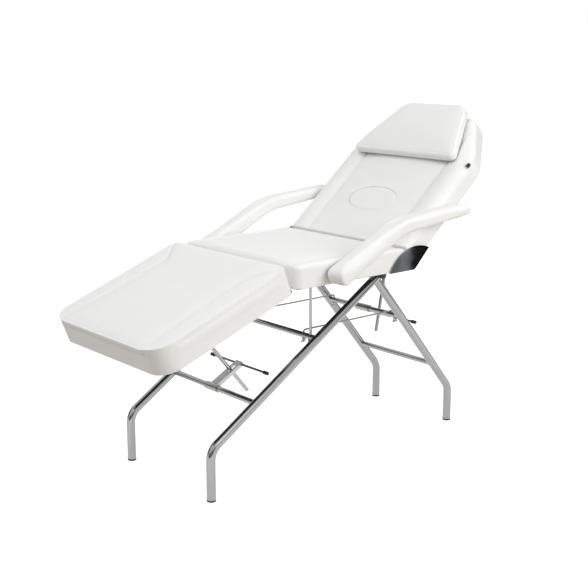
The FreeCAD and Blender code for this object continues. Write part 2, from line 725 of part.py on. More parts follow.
# Leg rest hinges: a leaf under each board, with half a knuckle each, and a pin
pin_r = size("hinge_pin_d") / 2
knuckle_r = size("knuckle_d") / 2
leaf_top = size("leg_hinge_drop")


def hinge_leaf(x, inward, toward, bore):
    """A leaf whose knuckle fills one half of its width; toward is 1 for the seat and -1 for the leg rest."""
    half_wide = size("leaf_wide") / 2
    near = knuckle_r + size("face_gap")
    first = x if inward else x - half_wide
    knuckle = Part.makeCylinder(knuckle_r, half_wide - size("face_gap"), Vector(first, 0, 0), ACROSS)
    low_y, high_y = sorted((toward * near, toward * (near + size("leaf_len"))))
    leaf = box(
        Vector(x - half_wide, low_y, leaf_top - size("leaf_thick")), Vector(x + half_wide, high_y, leaf_top)
    )
    low_y, high_y = sorted((0, toward * near))
    bridge = box(
        Vector(first, low_y, knuckle_r - size("leaf_thick")),
        Vector(first + half_wide - size("face_gap"), high_y, knuckle_r),
    )
    hole = Part.makeCylinder(bore, size("leaf_wide") * 2, Vector(x - size("leaf_wide"), 0, 0), ACROSS)
    return knuckle.fuse([bridge, leaf]).cut(hole)


fixed_leaves = []
moving_leaves = []
leg_pins = []
for sign in (1, -1):
    x = sign * size("hinge_half")
    fixed_leaves.append(hinge_leaf(x, True, 1, pin_r))
    moving_leaves.append(hinge_leaf(x, False, -1, pin_r + size("run_gap")))
    length = size("leaf_wide") - size("face_gap")
    leg_pins.append(Part.makeCylinder(pin_r, length, Vector(x - size("leaf_wide") / 2, 0, 0), ACROSS))
level = Placement(at(0, *leg_hinge), UPRIGHT)
solid("leg_hinge_seat_leaves", Part.makeCompound(fixed_leaves), level)
solid("leg_hinge_pins", Part.makeCompound(leg_pins), level)
solid("leg_hinge_rest_leaves", Part.makeCompound(moving_leaves), leg_place)

# Leg rest, made level with its hinge at the origin and then sloped
leg_rear = -size("leg_gap_half")
leg_foot = leg_rear - size("leg_len")
leg_top = size("leg_hinge_drop") + size("leg_thick")
leg_board_corner = Vector(-board_half, leg_foot + size("leg_corner"), size("leg_hinge_drop"))
block_piece(
    "leg_board",
    "2 * (Sizes.seat_half - Sizes.board_inset)",
    "Sizes.leg_len - Sizes.leg_corner - Sizes.board_inset",
    "Sizes.board_thick",
    leg_place.multiply(Placement(leg_board_corner, UPRIGHT)),
)
leg_inside = box(
    leg_board_corner,
    Vector(board_half, leg_rear - size("board_inset"), size("leg_hinge_drop") + size("board_thick")),
)
leg_low = size("leg_hinge_drop") - size("overrun")
leg_form = crowned(section_half, leg_low, leg_top, size("leg_crown"), 0, leg_foot, leg_rear)
leg_form = leg_form.common(
    plan(
        [(-half, leg_foot), (half, leg_foot), (half, leg_rear), (-half, leg_rear)],
        [size("leg_corner"), size("leg_corner"), size("small_corner"), size("small_corner")],
        [size("draw_in"), size("draw_in"), 0, size("draw_in")],
        leg_low,
        leg_top + size("overrun"),
    )
)
foot_past = leg_foot - size("section_ease")
rear_past = leg_rear + size("section_ease")
leg_form = leg_form.common(
    side_view(
        [
            (foot_past, size("leg_hinge_drop")),
            (rear_past, size("leg_hinge_drop")),
            (rear_past, leg_top),
            (foot_past, leg_top),
        ],
        [0, 0, size("edge_round"), size("edge_round")],
        [0, 0, 0, 0],
        -half - size("overrun"),
        half + size("overrun"),
    )
)
solid("leg_cushion", leg_form.cut(leg_inside), leg_place)

# Backrest, made level with its hinge at the origin and then raised
back_low = size("back_gap_half")
low_past = back_low - size("overrun")
back_plan_points = [
    (-half, low_past),
    (half, low_past),
    (half, size("back_straight")),
    (size("head_half"), size("back_len")),
    (-size("head_half"), size("back_len")),
    (-half, size("back_straight")),
]
inset = size("board_inset")
back_board_points = [
    (-board_half, back_low + inset),
    (board_half, back_low + inset),
    (board_half, size("back_straight") - inset / 2),
    (size("head_half") - inset / 2, size("back_len") - inset),
    (-size("head_half") + inset / 2, size("back_len") - inset),
    (-board_half, size("back_straight") - inset / 2),
]
plain = [0, 0, 0, 0, 0, 0]
back_board = plan(back_board_points, plain, plain, back_under, back_under + size("board_thick"))
under_past = back_under - size("overrun")
back_form = crowned(
    section_half,
    under_past,
    size("back_face"),
    size("crown") / 2,
    panel_half,
    back_low,
    size("back_len"),
)
back_form = back_form.common(
    plan(
        back_plan_points,
        [0, 0, size("head_corner"), size("head_corner"), size("head_corner"), size("head_corner")],
        [0, size("draw_in"), 0, size("draw_in"), 0, size("draw_in")],
        under_past,
        size("back_face") + size("overrun"),
    )
)
back_form = back_form.common(
    side_view(
        [
            (back_low, back_under),
            (size("back_len") + size("section_ease"), back_under),
            (size("back_len") + size("section_ease"), size("back_face")),
            (back_low + size("back_setback"), size("back_face")),
            (back_low, 0),
        ],
        [0, 0, size("edge_round"), 0, 0],
        [0, 0, 0, 0, 0],
        -half - size("overrun"),
        half + size("overrun"),
    )
)
hinge_arms = []
for side, sign in SIDES:
    arm_low, arm_high = sorted(
        (sign * hinge_arm_in, sign * (hinge_arm_in + size("hinge_arm_thick")))
    )
    eye = Part.makeCylinder(size("hinge_eye"), arm_high - arm_low, Vector(arm_low, 0, 0), ACROSS)
    seat_of_arm = back_under + size("board_thick")
    web = box(
        Vector(arm_low, back_low + inset, seat_of_arm), Vector(arm_high, size("hinge_arm_len"), size("hinge_eye"))
    )
    neck = box(Vector(arm_low, 0, -size("hinge_eye")), Vector(arm_high, back_low + inset, size("hinge_eye")))
    foot_low, foot_high = sorted(
        (sign * (hinge_arm_in - size("flange_wide")), sign * hinge_arm_in)
    )
    foot = box(
        Vector(foot_low, back_low + inset, seat_of_arm),
        Vector(foot_high, size("hinge_arm_len"), seat_of_arm + size("plate_thick")),
    )
    bore = Part.makeCylinder(
        size("back_pin_d") / 2 + size("run_gap"), size("seat_half") * 2, Vector(-size("seat_half"), 0, 0), ACROSS
    )
    arm = eye.fuse([neck, web, foot]).cut(bore)
    hinge_arms.append(arm)
    solid("back_hinge_arm_" + side, arm, back_place)
flat_eyes = []
for eye_rod in eye_rods:
    flat = eye_rod.copy()
    flat.translate(-at(0, *back_hinge))
    flat_eyes.append(flat)


def oval(gap, low, high):
    ring = Part.Ellipse(
        Vector(0, size("plug_at"), low), size("plug_half_x") + gap, size("plug_half_y") + gap
    )
    return Part.Face(Part.Wire(ring.toShape())).extrude(UP * (high - low))


face_hole = oval(0, back_under - size("overrun"), size("back_face") + size("overrun"))
for pocket in [back_board] + hinge_arms + flat_eyes:
    back_form = back_form.cut(pocket)
solid("back_board", back_board.cut(face_hole), back_place)

edge_mid = Vector(half - size("edge_round"), 0, size("back_face") - size("crown") / 2 - size("edge_round"))
tag_turn = Rotation(Vector(0, 1, 0), -size("tag_lean"))
tag_low = size("edge_round") + size("tag_proud") - size("tag_thick")
tag_corner = edge_mid + tag_turn.multVec(Vector(tag_low, size("tag_at"), -size("tag_tall") / 2))
tag_place = Placement(tag_corner, tag_turn)
pocket = Part.makeBox(size("tag_thick"), size("tag_wide"), size("tag_tall"))
pocket.Placement = tag_place
back_form = back_form.cut(pocket)
solid("back_cushion", back_form.cut(face_hole), back_place)
block_piece(
    "tag", "Sizes.tag_thick", "Sizes.tag_wide", "Sizes.tag_tall", back_place.multiply(tag_place)
)

# Face-hole plug and pillow, which lift off the backrest
plug = oval(-size("plug_gap"), back_under, size("back_face") + size("plug_rise"))
dome_r = size("plug_half_x") * size("plug_dome_share")
dome = Part.makeSphere(dome_r, Vector(0, size("plug_at"), size("back_face") + size("plug_rise") - dome_r))
solid("face_hole_plug", plug.common(dome), back_place)

pillow_base = size("back_face") + size("pillow_lift")
pillow_top = pillow_base + size("pillow_thick")
pillow_end = size("pillow_low") + size("pillow_len")
pillow_low_past = size("pillow_low") - size("section_ease")
pillow_end_past = pillow_end + size("section_ease")
pillow = crowned(
    size("pillow_low_half") + size("section_ease"),
    pillow_base - size("overrun"),
    pillow_top,
    size("crown"),
    0,
    pillow_low_past,
    pillow_end_past,
)
pillow = pillow.common(
    plan(
        [
            (-size("pillow_low_half"), size("pillow_low")),
            (size("pillow_low_half"), size("pillow_low")),
            (size("pillow_top_half"), pillow_end),
            (-size("pillow_top_half"), pillow_end),
        ],
        [size("pillow_corner")] * 4,
        [size("draw_in")] * 4,
        pillow_base - size("overrun"),
        pillow_top + size("overrun"),
    )
)
pillow = pillow.common(
    side_view(
        [
            (pillow_low_past, pillow_base),
            (pillow_end_past, pillow_base),
            (pillow_end_past, pillow_top),
            (pillow_low_past, pillow_top),
        ],
        [size("edge_round") / 2, size("edge_round") / 2, size("edge_round"), size("edge_round")],
        [0, 0, 0, 0],
        -half,
        half,
    )
)
solid("head_pillow", pillow, back_place)
grip_y = size("pillow_low") + (size("pillow_len") - size("grip_len")) / 2
grip = box(
    Vector(-size("grip_half"), grip_y, size("back_face") - size("crown")),
    Vector(size("grip_half"), grip_y + size("grip_len"), pillow_base),
)
raised = back_form.translated(UP * size("face_gap"))
solid("pillow_grip_strip", grip.cut(raised), back_place)

# Armrests: a bent pad on each side that turns on its pivot bolt
arm_pivot = (size("arm_pivot_y") - size("origin_y"), size("arm_pivot_z"))
arm_bend = away(arm_pivot, size("arm_low_len"), size("arm_low_angle"))
arm_tip = away(arm_bend, size("arm_fore_len"), size("arm_fore_angle"))
arm_toe = away(arm_pivot, -size("arm_end"), size("arm_low_angle"))
lean = size("arm_low_angle") + 90
fore_lean = size("arm_fore_angle") + 90
bend_lean = (lean + fore_lean) / 2
for side, sign in SIDES:
    low_x, high_x = sorted((sign * arm_in, sign * (arm_in + size("arm_wide"))))
    pad = side_view(
        [
            away(arm_toe, -size("arm_end"), lean),
            away(arm_bend, -size("arm_bend_half"), bend_lean),
            away(arm_tip, -size("arm_tip_half"), fore_lean),
            away(arm_tip, size("arm_tip_half"), fore_lean),
            away(arm_bend, size("arm_bend_half"), bend_lean),
            away(arm_toe, size("arm_end"), lean),
        ],
        [
            size("arm_end_round"),
            size("arm_bend_round"),
            size("arm_tip_round"),
            size("arm_tip_round"),
            size("arm_bend_round"),
            size("arm_end_round"),
        ],
        [0, 0, 0, 0, 0, 0],
        low_x,
        high_x,
    )
    rims = [edge for edge in pad.Edges if edge.BoundBox.XLength < size("face_gap")]
    pad = pad.makeFillet(size("arm_edge"), rims)
    reach = size("arm_bolt_in") + size("overrun") + size("face_gap")
    start = Vector(sign * (arm_in - size("overrun")), arm_pivot[0], arm_pivot[1])
    hole = rod(size("arm_bolt_d") / 2 + size("run_gap"), start, start + ACROSS * (sign * reach))
    solid("armrest_" + side, pad.cut(hole))


# Locking struts: a rod hung from a bracket under a board, running through the slot of a lock arm
def strut_set(name, pin, crossbar, arm_angle, bracket_angle):
    hole_at = away(crossbar, size("lock_hole_at"), arm_angle)
    slope = math.degrees(math.atan2(hole_at[1] - pin[1], hole_at[0] - pin[0]))
    place = Placement(at(0, *pin), turn(slope + 90))
    length = name + "_strut_len"
    body = bar_piece(
        name + "_strut_rod",
        "Sizes.strut_d / 2",
        "Sizes." + length + " + Sizes.strut_eye",
        place.multiply(Placement(UP * -size(length), UPRIGHT)),
    )
    eye = bar_piece(
        name + "_strut_eye",
        "Sizes.strut_pin_d / 2 + Sizes.run_gap",
        "2 * Sizes.strut_d",
        place.multiply(Placement(ACROSS * -size("strut_d"), SIDEWAYS)),
    )
    cut_piece(name + "_strut", body, eye)

    place = Placement(at(0, *pin), turn(bracket_angle))
    wide = size("clevis_wide") / 2
    ear = size("clevis_ear")
    plate_low = Vector(-wide, -size("clevis_len") / 2, size("clevis_drop") - ear)
    steel = [
        block_piece(
            name + "_strut_plate",
            "Sizes.clevis_wide",
            "Sizes.clevis_len",
            "Sizes.clevis_ear",
            place.multiply(Placement(plate_low, UPRIGHT)),
        )
    ]
    for side, ear_x in (("left", wide - ear), ("right", -wide)):
        ear_low = Vector(ear_x, -size("clevis_ear_len") / 2, -size("clevis_ear_over"))
        steel.append(
            block_piece(
                name + "_strut_ear_" + side,
                "Sizes.clevis_ear",
                "Sizes.clevis_ear_len",
                "Sizes.clevis_ear_over + Sizes.clevis_drop - Sizes.clevis_ear",
                place.multiply(Placement(ear_low, UPRIGHT)),
            )
        )
    hole = bar_piece(
        name + "_strut_hole",
        "Sizes.strut_pin_d / 2",
        "2 * Sizes.clevis_wide",
        place.multiply(Placement(ACROSS * -size("clevis_wide"), SIDEWAYS)),
    )
    cut_piece(name + "_strut_bracket", fused_piece(name + "_strut_steel", steel), hole)
    bar_piece(
        name + "_strut_pin",
        "Sizes.strut_pin_d / 2",
        "Sizes.clevis_wide + 2 * Sizes.clevis_ear",
        place.multiply(Placement(ACROSS * -(wide + ear), SIDEWAYS)),
    )

    place = Placement(at(0, *crossbar), turn(arm_angle))
    sleeve_end = ACROSS * -(size("sleeve_len") / 2)
    sleeve = bar_piece(
        name + "_sleeve_tube",
        "Sizes.sleeve_d / 2",
        "Sizes.sleeve_len",
        place.multiply(Placement(sleeve_end, SIDEWAYS)),
    )
    bore = bar_piece(
        name + "_sleeve_bore",
        "Sizes.bar_d / 2 + Sizes.run_gap",
        "Sizes.sleeve_len",
        place.multiply(Placement(sleeve_end, SIDEWAYS)),
    )
    cut_piece(name + "_lock_sleeve", sleeve, bore)
    handle_mid = Vector(0, size("lock_handle_at"), 0)
    reach = ACROSS * size("handle_half")
    bar_piece(
        name + "_lock_handle",
        "Sizes.handle_d / 2",
        "2 * Sizes.handle_half",
        place.multiply(Placement(handle_mid - reach, SIDEWAYS)),
    )

    wide = size("lock_wide") / 2
    tall = size("lock_tall") / 2
    wall = size("lock_wall")
    arm = box(Vector(-wide, 0, -tall), Vector(wide, size("lock_len"), tall))
    hollow = box(
        Vector(-wide + wall, -size("overrun"), -tall - size("overrun")),
        Vector(wide - wall, size("lock_len") + size("overrun"), tall - wall),
    )
    middle = size("lock_hole_at")
    slot = box(
        Vector(-size("slot_wide") / 2, middle - size(name + "_slot_in"), -size("lock_tall")),
        Vector(size("slot_wide") / 2, middle + size(name + "_slot_out"), size("lock_tall")),
    )
    sleeve_room = rod(size("sleeve_d") / 2, sleeve_end, -sleeve_end)
    handle_room = rod(size("handle_d") / 2, handle_mid - reach, handle_mid + reach)
    solid(name + "_lock_arm", arm.cut([hollow, slot, sleeve_room, handle_room]), place)
    tips = []
    for sign in (1, -1):
        start = handle_mid + ACROSS * (sign * (size("handle_half") - size("tip_cover")))
        knob = rod(size("tip_d") / 2, start, start + ACROSS * (sign * size("tip_len")))
        rims = [edge for edge in knob.Edges if edge.BoundBox.XLength < size("face_gap")]
        knob = knob.makeFillet(size("tip_d") * size("tip_round_share"), rims)
        tips.append(knob.cut(handle_room))
    solid(name + "_lock_tips", Part.makeCompound(tips), place)


strut_set("back", back_strut_pin, rear_high, size("back_lock_angle"), size("back_angle"))
strut_set("leg", leg_strut_pin, front_low, size("leg_lock_angle"), size("leg_angle"))

# Every object is whole before anything is written; what only serves another object isn't written
doc.recompute()
pieces = [piece for piece in doc.Objects if piece is not sheet and not piece.InList]
for piece in pieces:
    if "Invalid" in piece.State or "Error" in piece.State:
        raise RuntimeError("failed: " + piece.Label)
    if piece.Shape.isNull() or not piece.Shape.isValid() or not piece.Shape.Solids:
        raise RuntimeError("not a sound shape: " + piece.Label)
os.makedirs("parts", exist_ok=True)
for piece in pieces:
    piece.Shape.exportStep("parts/" + piece.Label + ".step")

total = Part.makeCompound([piece.Shape for piece in pieces])
print("box", total.BoundBox)
for name, spot in (
    ("leg hinge", leg_hinge),
    ("back hinge", back_hinge),
    ("back strut pin", back_strut_pin),
    ("leg strut pin", leg_strut_pin),
    ("rear upper crossbar", rear_high),
    ("front lower crossbar", front_low),
    ("armrest pivot", (size("arm_pivot_y"), size("arm_pivot_z"))),
):
    print(name, at(0, *spot))
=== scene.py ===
import json
import math

import bpy
import numpy as np
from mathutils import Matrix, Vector

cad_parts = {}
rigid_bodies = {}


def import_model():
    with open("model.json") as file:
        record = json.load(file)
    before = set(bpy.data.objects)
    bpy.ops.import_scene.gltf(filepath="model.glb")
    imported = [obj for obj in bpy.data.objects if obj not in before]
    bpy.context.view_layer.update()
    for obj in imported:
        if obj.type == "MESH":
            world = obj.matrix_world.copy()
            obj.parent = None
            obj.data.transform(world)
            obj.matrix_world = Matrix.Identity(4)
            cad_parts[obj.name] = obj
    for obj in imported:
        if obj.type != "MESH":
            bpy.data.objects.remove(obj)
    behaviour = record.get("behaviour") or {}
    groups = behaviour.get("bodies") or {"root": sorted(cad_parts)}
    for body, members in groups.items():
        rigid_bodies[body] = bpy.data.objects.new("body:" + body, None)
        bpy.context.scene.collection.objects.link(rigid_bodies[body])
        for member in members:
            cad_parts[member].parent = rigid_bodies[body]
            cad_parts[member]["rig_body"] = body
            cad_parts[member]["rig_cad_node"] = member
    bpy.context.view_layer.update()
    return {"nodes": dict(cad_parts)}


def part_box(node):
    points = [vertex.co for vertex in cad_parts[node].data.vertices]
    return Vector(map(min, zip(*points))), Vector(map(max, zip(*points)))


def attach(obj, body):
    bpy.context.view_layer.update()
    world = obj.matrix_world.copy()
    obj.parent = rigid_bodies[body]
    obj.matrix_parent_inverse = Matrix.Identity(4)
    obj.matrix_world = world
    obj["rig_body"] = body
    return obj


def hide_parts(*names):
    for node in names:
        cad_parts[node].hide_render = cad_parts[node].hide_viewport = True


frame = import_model()


# Leg frames, crossbars, apex brackets, tie rods, seat stays and the backrest's hinges.
# Bent steel tube, rod and plate, polished and chrome plated after welding, so that it mirrors the studio;
# the plating is almost flawless, with only a little uneven haze.
def linear(code):
    """An sRGB hex colour as the linear values that shader sockets take."""
    parts = [int(code[i : i + 2], 16) / 255 for i in (0, 2, 4)]
    return [p / 12.92 if p <= 0.04045 else ((p + 0.055) / 1.055) ** 2.4 for p in parts] + [1.0]


def add_node(material, kind, settings, links):
    """Adds a shader node: settings go to sockets or properties by name, links give sockets a source."""
    node = material.node_tree.nodes.new(kind)
    for name, value in settings.items():
        if isinstance(name, int) or name in node.inputs:
            node.inputs[name].default_value = value
        else:
            setattr(node, name, value)
    for name, source in links.items():
        material.node_tree.links.new(source, node.inputs[name])
    return node


def new_material(name):
    """A new node material with nothing in it yet."""
    material = bpy.data.materials.new(name)
    material.use_nodes = True
    material.node_tree.nodes.clear()
    return material


def close_material(material, shader):
    """Links the finished shader to the material's output."""
    add_node(material, "ShaderNodeOutputMaterial", {}, {"Surface": shader})


def dress(names, material):
    """Gives CAD nodes their material."""
    for name in names:
        node = frame["nodes"][name]
        node.data.materials.clear()
        node.data.materials.append(material)


chrome = new_material("polished_chrome_plate")
place = add_node(chrome, "ShaderNodeTexCoord", {}, {}).outputs["Object"]
haze = add_node(chrome, "ShaderNodeTexNoise", {"Scale": 1 / 0.03, "Detail": 3.0}, {"Vector": place})
sheen = add_node(
    chrome,
    "ShaderNodeMapRange",
    {"From Min": 0.35, "From Max": 0.7, "To Min": 0.05, "To Max": 0.12},
    {"Value": haze.outputs["Fac"]},
)
mirror = add_node(
    chrome,
    "ShaderNodeBsdfPrincipled",
    {"Base Color": linear("9C9EA1"), "Metallic": 1.0},
    {"Roughness": sheen.outputs["Result"]},
)
close_material(chrome, mirror.outputs["BSDF"])
dress(
    [
        "front_leg_left",
        "front_leg_right",
        "rear_leg_left",
        "rear_leg_right",
        "front_lower_crossbar",
        "front_upper_crossbar",
        "rear_lower_crossbar",
        "rear_upper_crossbar",
        "apex_bracket_left",
        "apex_bracket_right",
        "tie_rod_left",
        "tie_rod_right",
        "seat_stay_left",
        "seat_stay_right",
        "hinge_plate_left",
        "hinge_plate_right",
        "hinge_plate_screws",
        "back_hinge_arm_left",
        "back_hinge_arm_right",
        "back_hinge_pins",
    ],
    chrome,
)

# Foot caps, bolt covers and handle tips.
# Black polyethylene mouldings pushed into or over bare ends; a fine spark-eroded texture leaves them satin,
# and scuffs have left them a little grey in patches.
black_plastic = new_material("moulded_black_polyethylene")
place = add_node(black_plastic, "ShaderNodeTexCoord", {}, {}).outputs["Object"]
spark = add_node(black_plastic, "ShaderNodeTexNoise", {"Scale": 1 / 0.0012, "Detail": 2.0}, {"Vector": place})
scuff = add_node(black_plastic, "ShaderNodeTexNoise", {"Scale": 1 / 0.008, "Detail": 4.0}, {"Vector": place})
shade = add_node(
    black_plastic,
    "ShaderNodeMix",
    {"data_type": "RGBA"},
    {"Factor": scuff.outputs["Fac"]},
)
shade.inputs[6].default_value = linear("121213")
shade.inputs[7].default_value = linear("2B2B2C")
grit = add_node(
    black_plastic, "ShaderNodeBump", {"Strength": 0.15, "Distance": 0.0003}, {"Height": spark.outputs["Fac"]}
)
satin = add_node(
    black_plastic,
    "ShaderNodeBsdfPrincipled",
    {"Roughness": 0.42},
    {"Base Color": shade.outputs[2], "Normal": grit.outputs["Normal"]},
)
close_material(black_plastic, satin.outputs["BSDF"])
dress(
    [
        "foot_caps",
        "apex_bolt_covers",
        "back_lock_tips",
        "leg_lock_tips",
    ],
    black_plastic,
)

# Bolts, nuts, pins, hinge leaves, rails, struts and their brackets.
# Bright zinc-plated steel, turned or pressed, whose passivation gives a cool mottled sheen.
zinc = new_material("bright_zinc_plate")
place = add_node(zinc, "ShaderNodeTexCoord", {}, {}).outputs["Object"]
mottle = add_node(zinc, "ShaderNodeTexNoise", {"Scale": 1 / 0.006, "Detail": 4.0}, {"Vector": place})
tone = add_node(zinc, "ShaderNodeMix", {"data_type": "RGBA"}, {"Factor": mottle.outputs["Fac"]})
tone.inputs[6].default_value = linear("9FA2A6")
tone.inputs[7].default_value = linear("C2C4C6")
rough = add_node(
    zinc,
    "ShaderNodeMapRange",
    {"To Min": 0.22, "To Max": 0.38},
    {"Value": mottle.outputs["Fac"]},
)
plated = add_node(
    zinc,
    "ShaderNodeBsdfPrincipled",
    {"Metallic": 1.0},
    {"Base Color": tone.outputs[2], "Roughness": rough.outputs["Result"]},
)
close_material(zinc, plated.outputs["BSDF"])
dress(
    [
        "apex_bolts",
        "apex_nuts",
        "armrest_pivot_bolts",
        "leg_hinge_pins",
        "leg_hinge_seat_leaves",
        "leg_hinge_rest_leaves",
        "side_rail_left",
        "side_rail_right",
        "back_strut",
        "leg_strut",
        "back_strut_pin",
        "leg_strut_pin",
        "back_strut_bracket",
        "leg_strut_bracket",
    ],
    zinc,
)

# Lock sleeves and wing nuts.
# Nickel-plated steel, warmer and softer than the chrome, with lines left by turning.
nickel = new_material("satin_nickel_plate")
place = add_node(nickel, "ShaderNodeTexCoord", {}, {}).outputs["Object"]
turned = add_node(
    nickel,
    "ShaderNodeTexWave",
    {"Scale": 1 / 0.0025, "Distortion": 1.5, "bands_direction": "X"},
    {"Vector": place},
)
cut_lines = add_node(
    nickel, "ShaderNodeBump", {"Strength": 0.08, "Distance": 0.0002}, {"Height": turned.outputs["Fac"]}
)
warm = add_node(
    nickel,
    "ShaderNodeBsdfPrincipled",
    {"Base Color": linear("A6A4A0"), "Metallic": 1.0, "Roughness": 0.26},
    {"Normal": cut_lines.outputs["Normal"]},
)
close_material(nickel, warm.outputs["BSDF"])
dress(
    [
        "back_lock_sleeve",
        "leg_lock_sleeve",
        "tie_rod_wing_nuts",
        "seat_stay_wing_nuts",
    ],
    nickel,
)

# Lock arms.
# Folded steel channel, zinc plated and tumbled, so it is a dull light grey with fine drawing lines.
dull_zinc = new_material("tumbled_zinc_sheet")
place = add_node(dull_zinc, "ShaderNodeTexCoord", {}, {}).outputs["Object"]
drawn = add_node(dull_zinc, "ShaderNodeMapping", {"Scale": (40, 1, 1)}, {"Vector": place})
lines = add_node(
    dull_zinc, "ShaderNodeTexNoise", {"Scale": 1 / 0.02, "Detail": 5.0}, {"Vector": drawn.outputs[0]}
)
grey = add_node(dull_zinc, "ShaderNodeMix", {"data_type": "RGBA"}, {"Factor": lines.outputs["Fac"]})
grey.inputs[6].default_value = linear("B4B4BA")
grey.inputs[7].default_value = linear("D2D2D6")
folded = add_node(
    dull_zinc,
    "ShaderNodeBsdfPrincipled",
    {"Metallic": 0.9, "Roughness": 0.42},
    {"Base Color": grey.outputs[2]},
)
close_material(dull_zinc, folded.outputs["BSDF"])
dress(["back_lock_arm", "leg_lock_arm"], dull_zinc)

# Handle rods of the locks.
# Drawn steel rod, only oiled, so it is a darker grey with fine lines along its length.
drawn_steel = new_material("drawn_steel_rod")
place = add_node(drawn_steel, "ShaderNodeTexCoord", {}, {}).outputs["Object"]
stretch = add_node(drawn_steel, "ShaderNodeMapping", {"Scale": (0.02, 1, 1)}, {"Vector": place})
streaks = add_node(
    drawn_steel, "ShaderNodeTexNoise", {"Scale": 1 / 0.0015, "Detail": 3.0}, {"Vector": stretch.outputs[0]}
)
steel = add_node(drawn_steel, "ShaderNodeMix", {"data_type": "RGBA"}, {"Factor": streaks.outputs["Fac"]})
steel.inputs[6].default_value = linear("4E4F52")
steel.inputs[7].default_value = linear("77787B")
oiled = add_node(
    drawn_steel,
    "ShaderNodeBsdfPrincipled",
    {"Metallic": 1.0, "Roughness": 0.28},
    {"Base Color": steel.outputs[2]},
)
close_material(drawn_steel, oiled.outputs["BSDF"])
dress(["back_lock_handle", "leg_lock_handle"], drawn_steel)

# Boards under the cushions.
# Film-faced plywood: a dark brown phenolic film pressed on birch veneer with a fine mesh, so it has a
# low sheen and a faint long grain that shows through.
plywood = new_material("film_faced_plywood")
place = add_node(plywood, "ShaderNodeTexCoord", {}, {}).outputs["Object"]
along = add_node(plywood, "ShaderNodeMapping", {"Scale": (1.0, 0.08, 1.0)}, {"Vector": place})
grain = add_node(
    plywood,
    "ShaderNodeTexNoise",
    {"Scale": 1 / 0.012, "Detail": 6.0, "Distortion": 0.6},
    {"Vector": along.outputs[0]},
)
film = add_node(plywood, "ShaderNodeMix", {"data_type": "RGBA"}, {"Factor": grain.outputs["Fac"]})
film.inputs[6].default_value = linear("1B1715")
film.inputs[7].default_value = linear("3A322D")
mesh_print = add_node(plywood, "ShaderNodeTexVoronoi", {"Scale": 1 / 0.002}, {"Vector": place})
pressed = add_node(
    plywood,
    "ShaderNodeBump",
    {"Strength": 0.12, "Distance": 0.0003},
    {"Height": mesh_print.outputs["Distance"]},
)
filmed = add_node(
    plywood,
    "ShaderNodeBsdfPrincipled",
    {"Roughness": 0.45},
    {"Base Color": film.outputs[2], "Normal": pressed.outputs["Normal"]},
)
close_material(plywood, filmed.outputs["BSDF"])
dress(["seat_board", "leg_board", "back_board"], plywood)

# Tag and pillow fastening strip.
# A folded woven ribbon sewn into the side seam, left plain, and a strip of hook-and-loop tape.
ribbon = new_material("woven_black_ribbon")
place = add_node(ribbon, "ShaderNodeTexCoord", {}, {}).outputs["Object"]
weave = add_node(
    ribbon,
    "ShaderNodeTexChecker",
    {"Scale": 1 / 0.0008, "Color1": linear("0C0C0D"), "Color2": linear("1E1E20")},
    {"Vector": place},
)
woven = add_node(
    ribbon,
    "ShaderNodeBsdfPrincipled",
    {"Roughness": 0.7, "Sheen Weight": 0.3},
    {"Base Color": weave.outputs["Color"]},
)
close_material(ribbon, woven.outputs["BSDF"])
dress(["tag"], ribbon)

loop_tape = new_material("white_loop_tape")
place = add_node(loop_tape, "ShaderNodeTexCoord", {}, {}).outputs["Object"]
loops = add_node(loop_tape, "ShaderNodeTexNoise", {"Scale": 1 / 0.0015, "Detail": 2.0}, {"Vector": place})
pile = add_node(
    loop_tape, "ShaderNodeBump", {"Strength": 0.5, "Distance": 0.001}, {"Height": loops.outputs["Fac"]}
)
napped = add_node(
    loop_tape,
    "ShaderNodeBsdfPrincipled",
    {"Base Color": linear("E4E3DF"), "Roughness": 0.85, "Sheen Weight": 0.4},
    {"Normal": pile.outputs["Normal"]},
)
close_material(loop_tape, napped.outputs["BSDF"])
dress(["pillow_grip_strip"], loop_tape)

# Upholstery of the whole chair.
# White polyvinyl leathercloth, embossed with a fine grain and heat-set over foam: matte to satin, with a
# faint warm cast and small waves where the foam pushes it out between the seams. A row of top stitches
# runs beside each seam; it follows two attributes that the sewn pieces carry.
vinyl = new_material("white_vinyl_leathercloth")
place = add_node(vinyl, "ShaderNodeTexCoord", {}, {}).outputs["Object"]
pebble = add_node(vinyl, "ShaderNodeTexVoronoi", {"Scale": 1 / 0.0022}, {"Vector": place})
wave = add_node(vinyl, "ShaderNodeTexNoise", {"Scale": 1 / 0.06, "Detail": 2.0}, {"Vector": place})
seam_reach = 0.02
stitch_row = 0.0045
thread_half = 0.0007
stitch_pitch = 0.006
thread_share = 0.68
near_seam = add_node(vinyl, "ShaderNodeAttribute", {"attribute_name": "near_seam"}, {})
along_seam = add_node(vinyl, "ShaderNodeAttribute", {"attribute_name": "along_seam"}, {})
off_row = add_node(
    vinyl,
    "ShaderNodeMath",
    {"operation": "MULTIPLY_ADD", 1: -seam_reach, 2: seam_reach - stitch_row},
    {0: near_seam.outputs["Fac"]},
)
off_row = add_node(vinyl, "ShaderNodeMath", {"operation": "ABSOLUTE"}, {0: off_row.outputs[0]})
on_row = add_node(
    vinyl, "ShaderNodeMath", {"operation": "LESS_THAN", 1: thread_half}, {0: off_row.outputs[0]}
)
paces = add_node(
    vinyl, "ShaderNodeMath", {"operation": "DIVIDE", 1: stitch_pitch}, {0: along_seam.outputs["Fac"]}
)
pace = add_node(vinyl, "ShaderNodeMath", {"operation": "FRACT"}, {0: paces.outputs[0]})
dash = add_node(vinyl, "ShaderNodeMath", {"operation": "LESS_THAN", 1: thread_share}, {0: pace.outputs[0]})
thread = add_node(
    vinyl, "ShaderNodeMath", {"operation": "MULTIPLY"}, {0: on_row.outputs[0], 1: dash.outputs[0]}
)
